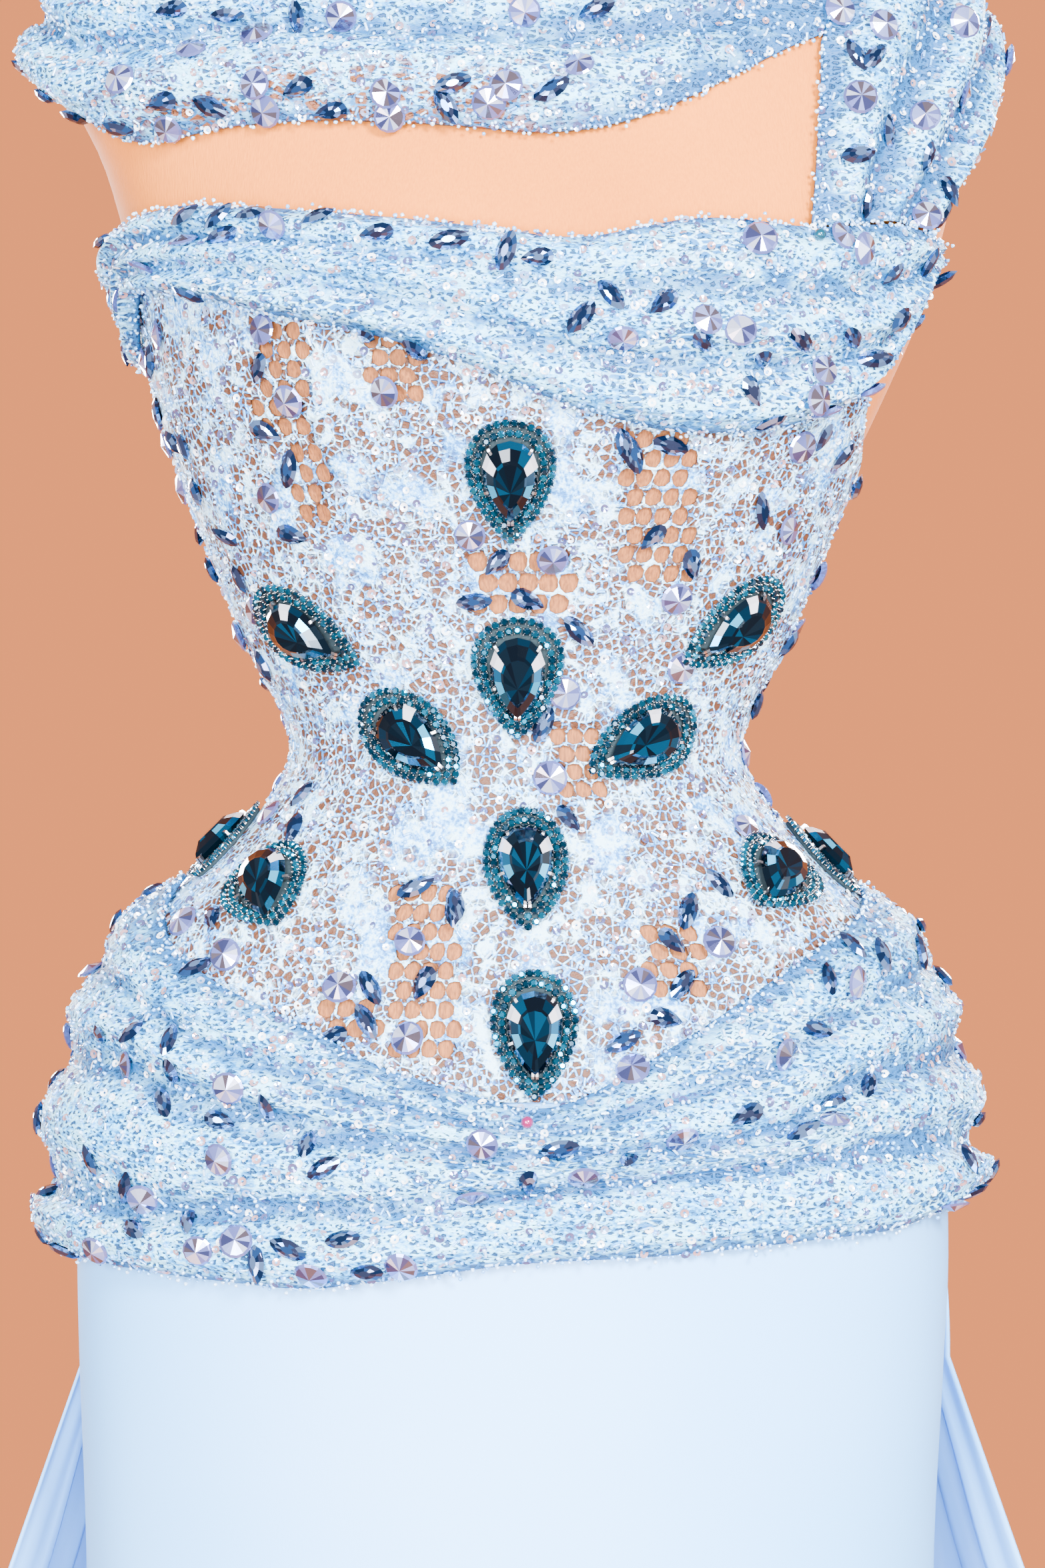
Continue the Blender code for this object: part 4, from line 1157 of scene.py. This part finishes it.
def jewel_pieces(gem_tones, halo, silver, setting, random):
    # The big stones, their prongs, the two rows of chain stones and the plates under them.
    places = jewel_places()
    patches = [Patch(*place) for place in places]
    setting_plates(patches, setting)
    centre = np.zeros((1, 2))
    stones = np.concatenate([patch.at(centre, SEATED) for patch in patches])
    axes = np.concatenate([patch.axes(centre) for patch in patches])
    facets = [jewel_facets(lean) for turn, height, lean in places]
    big = gem_shape(*BIG_STONE, False, 16, BIG_HEIGHTS, BIG_SHARES, True)
    place_gems("jewel_stones", big, stones, axes, np.ones(len(stones)), gem_tones, random, facets, 2)

    rows = [(patch, even_steps(*row, CHAIN_STEP)) for patch in patches for row in HALO_ROWS]
    spots = np.concatenate([patch.at(steps, SEATED) for patch, steps in rows])
    axes = np.concatenate([patch.axes(steps) for patch, steps in rows])
    leaning = spin(axes, random.uniform(0, 1, len(spots)))
    leaning = tilt(leaning, random.normal(0, 0.13, (len(spots), 2)))
    small = ring_shape((1.3, 1.58, 0.9), (0.0, 0.7, 1.5), 8, True)
    scatter("chain_stones", small, spots, leaning, np.ones(len(spots)), halo, random)
    claw = ring_shape((0.36, 0.22), (0.0, 1.45), 4, True)
    claws = np.concatenate([spots + axes[:, 0] * x + axes[:, 1] * y for x, y in CLAW_CORNERS])
    scatter("chain_claws", claw, claws, np.concatenate([axes] * 4), np.ones(len(claws)), [silver],
            smooth=True)

    ring = pear_outline(*PRONG_RING, PRONG_ANGLES)
    prongs = np.concatenate([patch.at(ring, 1.5) for patch in patches])
    inward = np.concatenate([patch.at(ring * 0.5, 0) - patch.at(ring, 0) for patch in patches])
    outward = np.concatenate([patch.axes(ring)[:, 2] for patch in patches])
    scatter("jewel_prongs", prong_shape(), prongs, frames_at(outward, inward), np.ones(len(prongs)), [silver])
    return stones


# Round stones that show in the picture: where each stands.
ROUND_STONES = (
    (381, 47), (509, 25), (290, 72), (178, 120), (253, 197), (384, 134), (400, 173), (573, 145),
    (589, 183), (767, 129), (732, 161), (869, 92), (793, 17), (1265, 14), (1324, 30), (1445, 26),
    (1295, 148), (1390, 173), (1392, 323), (1265, 348), (1301, 370), (1148, 358), (1064, 473),
    (1114, 493), (936, 510), (1242, 554), (1226, 604), (1200, 672), (575, 585), (435, 604), (387, 494),
    (402, 339), (273, 358), (236, 501), (407, 747), (379, 918), (701, 806), (829, 841), (850, 1045),
    (829, 1165), (398, 1221), (280, 1377), (338, 1428), (620, 1412), (503, 1485), (611, 1552),
    (189, 1604), (337, 1633), (324, 1743), (216, 1802), (301, 1880), (356, 1859), (467, 1915),
    (608, 1905), (145, 1878), (710, 1797), (728, 1713), (872, 1768), (1028, 1710), (1253, 1678),
    (1177, 1577), (1286, 1479), (960, 1469), (946, 1600), (1077, 1410), (1012, 905), (1021, 1002),
    (1185, 795), (1117, 1237),
)
# Gaps between the hidden stones, and from stones and beads to what they keep clear of (mm).
STONE_GAP = 20.0
STONE_OFF_JEWEL = 31
BEADS_OFF_JEWEL = 24
BEADS_OFF_STONE = 6.5
BEADS_OFF_HOLE = 5.0
# The height of the picture's top edge, and how far forward a surface faces before the picture shows it.
PICTURE_TOP = 1362
FACES_FRONT = -0.12
STONE_TRIES = 8
# Long stones that show in the picture: where each stands, and its lean from upright toward the right.
LONG_STONES = (
    (254, 14, 85), (341, 23, 80), (444, 28, 0), (240, 159, 80), (180, 198, -60), (315, 161, -60),
    (451, 133, 65), (493, 173, 80), (685, 129, 75), (663, 161, -30), (825, 140, 60), (896, 11, 70),
    (1317, 86, 45), (1281, 77, -30), (1336, 204, -20), (1396, 234, 20), (1289, 234, 75), (1306, 304, 10),
    (1432, 285, -20), (1394, 401, 10), (1340, 414, 45), (1352, 487, 55), (1317, 538, 85), (919, 440, -35),
    (1003, 451, 50), (877, 482, 40), (1050, 517, -40), (1148, 541, -25), (1207, 510, -50),
    (1284, 510, -60), (1237, 660, 10), (1266, 688, 40), (938, 669, -15), (1003, 674, -75), (554, 507, 60),
    (624, 529, 5), (384, 554, 25), (395, 648, -60), (278, 332, 70), (327, 323, 45), (329, 356, 80),
    (373, 318, 85), (472, 325, 70), (560, 353, 85), (669, 363, 80), (763, 370, 20), (809, 388, 85),
    (222, 538, 5), (230, 618, -35), (259, 669, -45), (436, 701, 15), (436, 800, -75), (292, 736, -45),
    (276, 672, -40), (343, 812, -40), (356, 867, -35), (394, 1001, -20), (748, 844, 45), (718, 906, 85),
    (790, 905, -65), (866, 953, -45), (817, 1093, 25), (857, 1227, -40), (620, 1326, 60),
    (677, 1358, -15), (449, 1192, 40), (435, 1243, 10), (316, 1379, -35), (296, 1447, 50),
    (554, 1482, -30), (640, 1472, 30), (202, 1545, 15), (152, 1557, 45), (260, 1557, 5), (260, 1609, 30),
    (244, 1655, -30), (400, 1667, 5), (328, 1676, -75), (467, 1713, 10), (489, 1749, 60), (184, 1777, 30),
    (138, 1747, -10), (280, 1830, -25), (202, 1841, -50), (432, 1869, -65), (390, 1889, -10),
    (519, 1858, 80), (551, 1912, 85), (796, 1777, 0), (834, 1722, 80), (950, 1740, 0), (1122, 1679, 65),
    (1207, 1690, 55), (1249, 1648, 50), (1308, 1625, 35), (1224, 1538, -70), (1247, 1465, 5),
    (1279, 1419, -25), (1327, 1428, 5), (1385, 1428, -15), (1024, 1474, 45), (996, 1524, -75),
    (937, 1554, 65), (1004, 1407, -45), (542, 1534, -30), (505, 1554, 70), (680, 1364, 0),
    (1455, 1736, 0), (1045, 845, -20), (985, 810, 40), (950, 680, -20), (1145, 770, -15),
    (1040, 1365, 20), (1080, 1325, -40), (1210, 985, 20), (1130, 590, -30),
)


def front_samples(grids):
    # Every spot of the trimmed surfaces but the back lace, its axes, and where it shows in the picture.
    points = []
    axes = []
    for grid, ring, stone_count, place in grids:
        if place == "back":
            continue
        across = np.gradient(grid, axis=1)
        down = np.gradient(grid, axis=0)
        normal = unit(np.cross(down, across))
        points.append(grid.reshape(-1, 3))
        axes.append(frames_at(normal.reshape(-1, 3), np.array((0.0, 0.0, 1.0))))
    points = np.concatenate(points)
    axes = np.concatenate(axes)
    scale = EYE_AWAY / (EYE_AWAY + points[:, 1]) / PICTURE_STEP
    seen_x = PICTURE_MIDDLE + points[:, 0] * scale
    seen_y = EYE_ROW - (points[:, 2] - EYE_HEIGHT) * scale
    return points, axes, seen_x, seen_y


def shown_stones(samples, rows):
    # Where the stones of a table stand on the dress: the foremost spot close to each picture spot.
    points, axes, seen_x, seen_y = samples
    found = []
    for px, py, *lean in rows:
        away = np.hypot(seen_x - px, seen_y - py)
        close = np.flatnonzero(away < max(9.0, away.min() + 3.0))
        found.append(close[np.argmin(points[close, 1])])
    return points[found], axes[found]


def lace_sampling_grid(start, end):
    turns = np.linspace(start * DEG, end * DEG, 120)
    down = np.linspace(0, 1, 90)[:, None]
    top = np.where(np.abs(wrapped(turns)) < 70 * DEG,
                   np.minimum(BODICE_TOP(turns), BUST_LOW(turns) + 2), BODICE_TOP(turns) - 3)
    heights = top * (1 - down) + (HIP_TOP(turns) - 2) * down
    return layer(FORM_ROWS, turns, heights, LACE_OUT)


def net_middles():
    flat = np.array([np.mean(hole, axis=0) for hole in net_holes()])
    return layer(FORM_ROWS, flat[:, 0] / FLAT_STEP, flat[:, 1], LACE_OUT)


def odd_beads(samples, tones):
    # One small teal pearl under the strap and one magenta bead on the hip drape.
    spots, axes = shown_stones(samples, ((1230, 350), (794, 1687)))
    pearl = ring_shape((1.6, 2.4, 2.4, 1.6, 0.6), (0.2, 1.1, 2.5, 3.8, 4.2), 12, True)
    for index, name in enumerate(("teal_pearl", "magenta_bead")):
        one = slice(index, index + 1)
        scatter(name, pearl, spots[one], axes[one], np.ones(1), tones[one], smooth=True)


def nearest(origins, others):
    # The distance from each spot to the nearest of the others, worked out in parts to save memory.
    parts = [origins[start:start + 500] for start in range(0, len(origins), 500)]
    return np.concatenate([
        np.linalg.norm(part[:, None] - others[None], axis=2).min(axis=1) for part in parts])


def hidden_stones(grids, jewels, random):
    # Spots for medium stones where the picture doesn't show the dress: behind, at the sides and above it.
    found = []
    found_axes = []
    for grid, ring, stone_count, place in grids:
        origins, axes = spots_on(grid, stone_count * STONE_TRIES, random, ring)
        clear = nearest(origins, jewels) > STONE_OFF_JEWEL
        clear &= (axes[:, 2, 1] > FACES_FRONT) | (origins[:, 2] > PICTURE_TOP)
        found.append(origins[clear])
        found_axes.append(axes[clear])
    found = np.concatenate(found)
    found_axes = np.concatenate(found_axes)
    order = random.permutation(len(found))
    keep = order[apart(found[order], STONE_GAP)]
    return found[keep], spin(found_axes[keep], random.uniform(-1.4, 1.4, len(keep)))


def stone_sizes(spots, random):
    return random.uniform(0.92, 1.06, len(spots))


def trimmings(grids, jewels, looks, random):
    # Stones, sequins and beads over every lace surface.
    samples = front_samples(grids)
    round_spots, round_axes = shown_stones(samples, ROUND_STONES)
    long_spots, long_axes = shown_stones(samples, LONG_STONES)
    long_axes = spin(long_axes, -np.array([row[2] for row in LONG_STONES]) * DEG)
    other_spots, other_axes = hidden_stones(grids, jewels, random)
    is_round = random.random(len(other_spots)) < ROUND_SHARE
    round_spots = np.concatenate((round_spots, other_spots[is_round]))
    round_axes = np.concatenate((round_axes, other_axes[is_round]))
    long_spots = np.concatenate((long_spots, other_spots[~is_round]))
    long_axes = np.concatenate((long_axes, other_axes[~is_round]))
    round_axes = tilt(round_axes, random.normal(0, 0.16, (len(round_axes), 2)))
    long_axes = tilt(long_axes, random.normal(0, 0.13, (len(long_axes), 2)))
    is_pear = random.random(len(long_spots)) < PEAR_SHARE
    rims = [((range(2 * RIVOLI_SIDES), 0),)] * len(round_spots)
    place_gems("rivolis", rivoli_shape(), round_spots, round_axes, stone_sizes(round_spots, random),
               looks["rivoli"], random, rims)
    for name, shape, mine in (("navettes", gem_shape(*NAVETTE, True, GEM_SIDES), ~is_pear),
                              ("pear_stones", gem_shape(*PEAR, False, GEM_SIDES), is_pear)):
        place_gems(name, shape, long_spots[mine], long_axes[mine], stone_sizes(long_spots[mine], random),
                   looks["sapphire"], random)
    stones = np.concatenate((round_spots, long_spots))
    kept_clear = ((jewels, BEADS_OFF_JEWEL), (stones, BEADS_OFF_STONE), (net_middles(), BEADS_OFF_HOLE))
    small_trimmings(grids, kept_clear, looks, random)
    odd_beads(samples, looks["pearl"])


def small_trimmings(grids, kept_clear, looks, random):
    # Sequins, bugles and beads, clear of the jewels, the stones and the open net.
    bugle, bugle_faces = ring_shape((0.52, 0.52), (-1.5, 1.5), 6)
    lying = bugle[:, (2, 0, 1)] + np.array((0, 0, 0.7))
    bead = ring_shape((0.85, 0.8, 0.4), (0.0, 0.65, 1.15), 5, True)
    hems(grids, bead, looks["bead"], random)
    kinds = (
        ("sequins", ring_shape((0.55, 1.75), (0.25, 0.65), 9), 13, 3.0, looks["sequin"], 0.30),
        ("bugles", (lying, bugle_faces), 7, 2.6, looks["bead"], 0.12),
        ("beads", bead, 19, 2.0, looks["bead"], 0.1),
    )
    for grid, ring, stone_count, place in grids:
        for name, shape, per_stone, gap, tones, lean in kinds:
            origins, axes = spots_on(grid, stone_count * per_stone, random, ring)
            clear = np.all([nearest(origins, others) > reach for others, reach in kept_clear], axis=0)
            origins = origins[clear]
            axes = axes[clear]
            keep = apart(origins, gap)
            axes = spin(axes[keep], random.uniform(0, math.pi, len(keep)))
            axes = tilt(axes, random.normal(0, lean, (len(keep), 2)))
            sizes = random.uniform(0.8, 1.1, len(keep))
            scatter("%s_%s" % (name, place), shape, origins[keep], axes, sizes, tones, random,
                    smooth=name != "sequins")


# Lines of beads along an edge, their step, how far they stray, and the least gap between two (mm).
HEM_LINES = 2
HEM_STEP = 2.0
HEM_SCATTER = 0.9
HEM_GAP = 1.9


def hem_edges(grid, place):
    # Edges of a drape to bead: the strap's sides and lower end, all four of the bust drape, else two.
    if place == "strap":
        return [grid[:, 0], grid[:, -1], grid[0]]
    if place == "bust":
        return [grid[0], grid[-1], grid[:, 0], grid[:, -1]]
    return [grid[0], grid[-1]]


def hems(grids, bead, tones, random):
    # Beads crowded along the cut edges of the drapes, so that no edge looks sharp.
    spots = []
    for edge in [edge for grid, ring, stone_count, place in grids if place not in ("front", "back")
                 for edge in hem_edges(grid, place)]:
        steps = np.linalg.norm(np.diff(edge, axis=0), axis=1)
        run = np.concatenate(((0,), np.cumsum(steps)))
        at = np.arange(0, run[-1], HEM_STEP)
        line = np.stack([np.interp(at, run, edge[:, axis]) for axis in range(3)], axis=1)
        for _ in range(HEM_LINES):
            spots.append(line + random.normal(0, HEM_SCATTER, line.shape))
    spots = np.concatenate(spots)
    spots = spots[apart(spots, HEM_GAP)]
    outward = unit(np.stack((spots[:, 0], spots[:, 1], random.normal(0, 60, len(spots))), axis=1))
    axes = tilt(frames_at(outward, np.array((0.0, 0.0, 1.0))), random.normal(0, 0.5, (len(spots), 2)))
    sizes = random.uniform(0.8, 1.15, len(spots))
    scatter("hem_beads", bead, spots, axes, sizes, tones, random, smooth=True)


# The tones of every trimming: colour, roughness, metal and coat. A stone's lighter and darker facet tones are
# partly its own colour and partly painted reflections.
TONES = {
    "teal_stone": (
        ("deep", (0.0004, 0.007, 0.016), 0.04, 0.8, 0.3),
        ("dark", (0.001, 0.022, 0.050), 0.05, 0.8, 0.3),
        ("bright", (0.002, 0.10, 0.21), 0.08, 0.9, 0.3),
        ("edge", (0.0003, 0.003, 0.008), 0.03, 0.7, 0.3),
        ("table", (0.0005, 0.010, 0.022), 0.03, 0.8, 0.6),
        # Painted highlights: the big stone's corner glints and low flashes.
        ("painted_glint", (0.50, 0.49, 0.55), 0.12, 0.3, 0.6),
        ("painted_flash", (0.03, 0.30, 0.50), 0.08, 0.6, 0.4),
    ),
    "chain_stone": (
        ("teal", (0.0, 0.055, 0.10), 0.10, 0.75, 0.2),
        ("bright", (0.0, 0.15, 0.26), 0.12, 0.85, 0.3),
        ("dark", (0.0, 0.020, 0.042), 0.08, 0.7, 0.2),
    ),
    "rivoli": (
        ("lavender", (0.12, 0.14, 0.40), 0.10, 0.6, 0.5),
        ("silver", (0.58, 0.62, 0.85), 0.12, 0.7, 0.5),
        ("pale", (0.20, 0.24, 0.52), 0.12, 0.5, 0.5),
        ("shadow", (0.045, 0.05, 0.15), 0.08, 0.7, 0.5),
        ("smoky", (0.10, 0.075, 0.10), 0.08, 0.7, 0.5),
    ),
    "sapphire": (
        ("mid", (0.030, 0.095, 0.28), 0.06, 0.85, 0.3),
        ("dark", (0.005, 0.018, 0.062), 0.05, 0.8, 0.3),
        ("smoky", (0.045, 0.055, 0.12), 0.05, 0.85, 0.3),
        ("light", (0.22, 0.36, 0.68), 0.08, 0.9, 0.3),
    ),
    "sequin": (
        ("pearl", (0.34, 0.44, 0.72), 0.16, 0.5, 0.6),
        ("lilac", (0.11, 0.12, 0.30), 0.14, 0.6, 0.6),
        ("pink", (0.50, 0.30, 0.34), 0.16, 0.5, 0.6),
        ("white", (0.80, 0.86, 0.96), 0.25, 0.1, 0.5),
    ),
    "bead": (
        ("clear", (0.42, 0.66, 0.95), 0.12, 0.1, 0.6),
        ("ice", (0.14, 0.42, 0.85), 0.14, 0.2, 0.6),
    ),
    "pearl": (
        ("teal", (0.0, 0.06, 0.10), 0.2, 0.4, 0.6),
        ("magenta", (0.25, 0.01, 0.10), 0.2, 0.4, 0.6),
    ),
}


def build_dress():
    random = np.random.default_rng(12)
    looks = {kind: [material("%s_%s" % (kind, name), *values) for name, *values in rows]
             for kind, rows in TONES.items()}
    torso_piece(jersey_material())
    stand_pieces(steel_material(), wood_material())
    lining_pieces(lining_material())
    lace_pieces(lace_material())
    draped = drape_material()
    bust = bust_drape_piece(draped)
    strap = strap_piece(draped)
    upper = upper_drape_piece(draped)
    satin = satin_material()
    skirt_pieces(satin)
    hip = hip_drape_piece(draped)
    train_piece(satin)
    silver = material("silver_setting", (0.46, 0.43, 0.44), 0.25, 1.0)
    # The plates' colour: near black, painted shade between and under the stones.
    setting = material("setting_in_painted_shade", (0.002, 0.012, 0.018), 0.9)
    jewels = jewel_pieces(looks["teal_stone"], looks["chain_stone"], silver, setting, random)
    # Each trimmed surface: its points, whether it is a ring, how many stones it takes, and its place.
    grids = (
        (lace_sampling_grid(-88, 88), False, 150, "front"),
        (lace_sampling_grid(92, 268), False, 120, "back"),
        (bust, False, 60, "bust"),
        (strap, False, 60, "strap"),
        (upper, False, 150, "upper"),
        (hip, True, 230, "hip"),
    )
    trimmings(grids, jewels, looks, random)


def floor_disc():
    # A round floor under the stand and the train.
    made = material("studio_floor", (0.34, 0.10, 0.036), 0.9)
    sides = 96
    reach = 1.4
    behind = 0.2
    turns = [side * 2 * math.pi / sides for side in range(sides)]
    corners = [(reach * math.sin(turn), behind + reach * math.cos(turn), 0) for turn in turns]
    mesh = bpy.data.meshes.new("floor")
    mesh.from_pydata(corners, [], [tuple(range(sides))[::-1]])
    mesh.materials.append(made)
    disc = bpy.data.objects.new("floor", mesh)
    bpy.context.scene.collection.objects.link(disc)


def background():
    # A warm plain background behind the dress and pale light in front of it.
    world = bpy.data.worlds.new("studio")
    bpy.context.scene.world = world
    world.use_nodes = True
    nodes = world.node_tree.nodes
    links = world.node_tree.links
    place = nodes.new("ShaderNodeTexCoord")
    parts = nodes.new("ShaderNodeSeparateXYZ")
    ramp = nodes.new("ShaderNodeValToRGB")
    links.new(place.outputs["Generated"], parts.inputs["Vector"])
    links.new(parts.outputs["Y"], ramp.inputs["Fac"])
    links.new(ramp.outputs["Color"], nodes["Background"].inputs["Color"])
    stops = ((0.1, (0.35, 0.36, 0.40, 1.0)), (0.6, (1.0, 0.292, 0.10, 1.0)))
    for element, (position, colour) in zip(ramp.color_ramp.elements, stops):
        element.position = position
        element.color = colour
    nodes["Background"].inputs["Strength"].default_value = 1.44


# The soft lights: name, place, what each points at, size, power and colour.
LIGHTS = (
    ("key", (1.2, -2.8, 2.2), (0, 0, 1.0), (0.8, 0.8), 530, (1.0, 0.99, 0.98)),
    ("fill", (-1.1, -2.9, 1.3), (0, 0, 1.0), (1.2, 1.6), 370, (0.98, 0.99, 1.0)),
    ("low", (0.1, -3.0, 0.5), (0, 0, 0.75), (0.6, 0.6), 165, (0.98, 0.99, 1.0)),
    ("low_right", (1.7, -2.2, 0.5), (0.4, 0.2, 0.65), (0.4, 0.8), 46, (0.98, 0.99, 1.0)),
    ("low_left", (-1.7, -2.2, 0.5), (-0.4, 0.2, 0.65), (0.4, 0.8), 14, (0.98, 0.99, 1.0)),
    ("left_side", (-2.3, -0.5, 1.1), (0, 0.2, 0.9), (0.8, 2.0), 6, (0.9, 0.95, 1.0)),
    ("right_side", (2.3, -0.5, 1.1), (0, 0.2, 0.9), (0.8, 2.0), 22, (0.9, 0.95, 1.0)),
    ("back_right", (1.5, 2.8, 2.3), (0, 0.2, 0.9), (1.2, 1.2), 420, (1.0, 0.99, 0.98)),
    ("back_left", (-1.6, 2.8, 1.5), (0, 0.2, 0.9), (1.2, 1.6), 280, (0.98, 0.99, 1.0)),
)


def soft_lights():
    for name, place, target, size, power, colour in LIGHTS:
        data = bpy.data.lights.new(name, "AREA")
        data.shape = "RECTANGLE"
        data.size = size[0]
        data.size_y = size[1]
        data.energy = power
        data.color = colour
        light = bpy.data.objects.new(name, data)
        light.visible_camera = False
        light.location = place
        light.rotation_euler = (Vector(target) - Vector(place)).to_track_quat("-Z", "Y").to_euler()
        bpy.context.scene.collection.objects.link(light)


def picture_camera():
    # The camera stands where the picture was taken from; its frame is the picture's.
    data = bpy.data.cameras.new("camera")
    data.sensor_width = 36
    data.lens = data.sensor_width * EYE_AWAY / (PICTURE_HEIGHT * PICTURE_STEP)
    camera = bpy.data.objects.new("camera", data)
    camera.location = ((EYE_COLUMN - PICTURE_MIDDLE) * PICTURE_STEP * MM, -EYE_AWAY * MM, EYE_HEIGHT * MM)
    camera.rotation_euler = (90 * DEG, 0, 0)
    bpy.context.scene.collection.objects.link(camera)
    bpy.context.scene.camera = camera


floor_disc()
background()
soft_lights()
picture_camera()
build_dress()
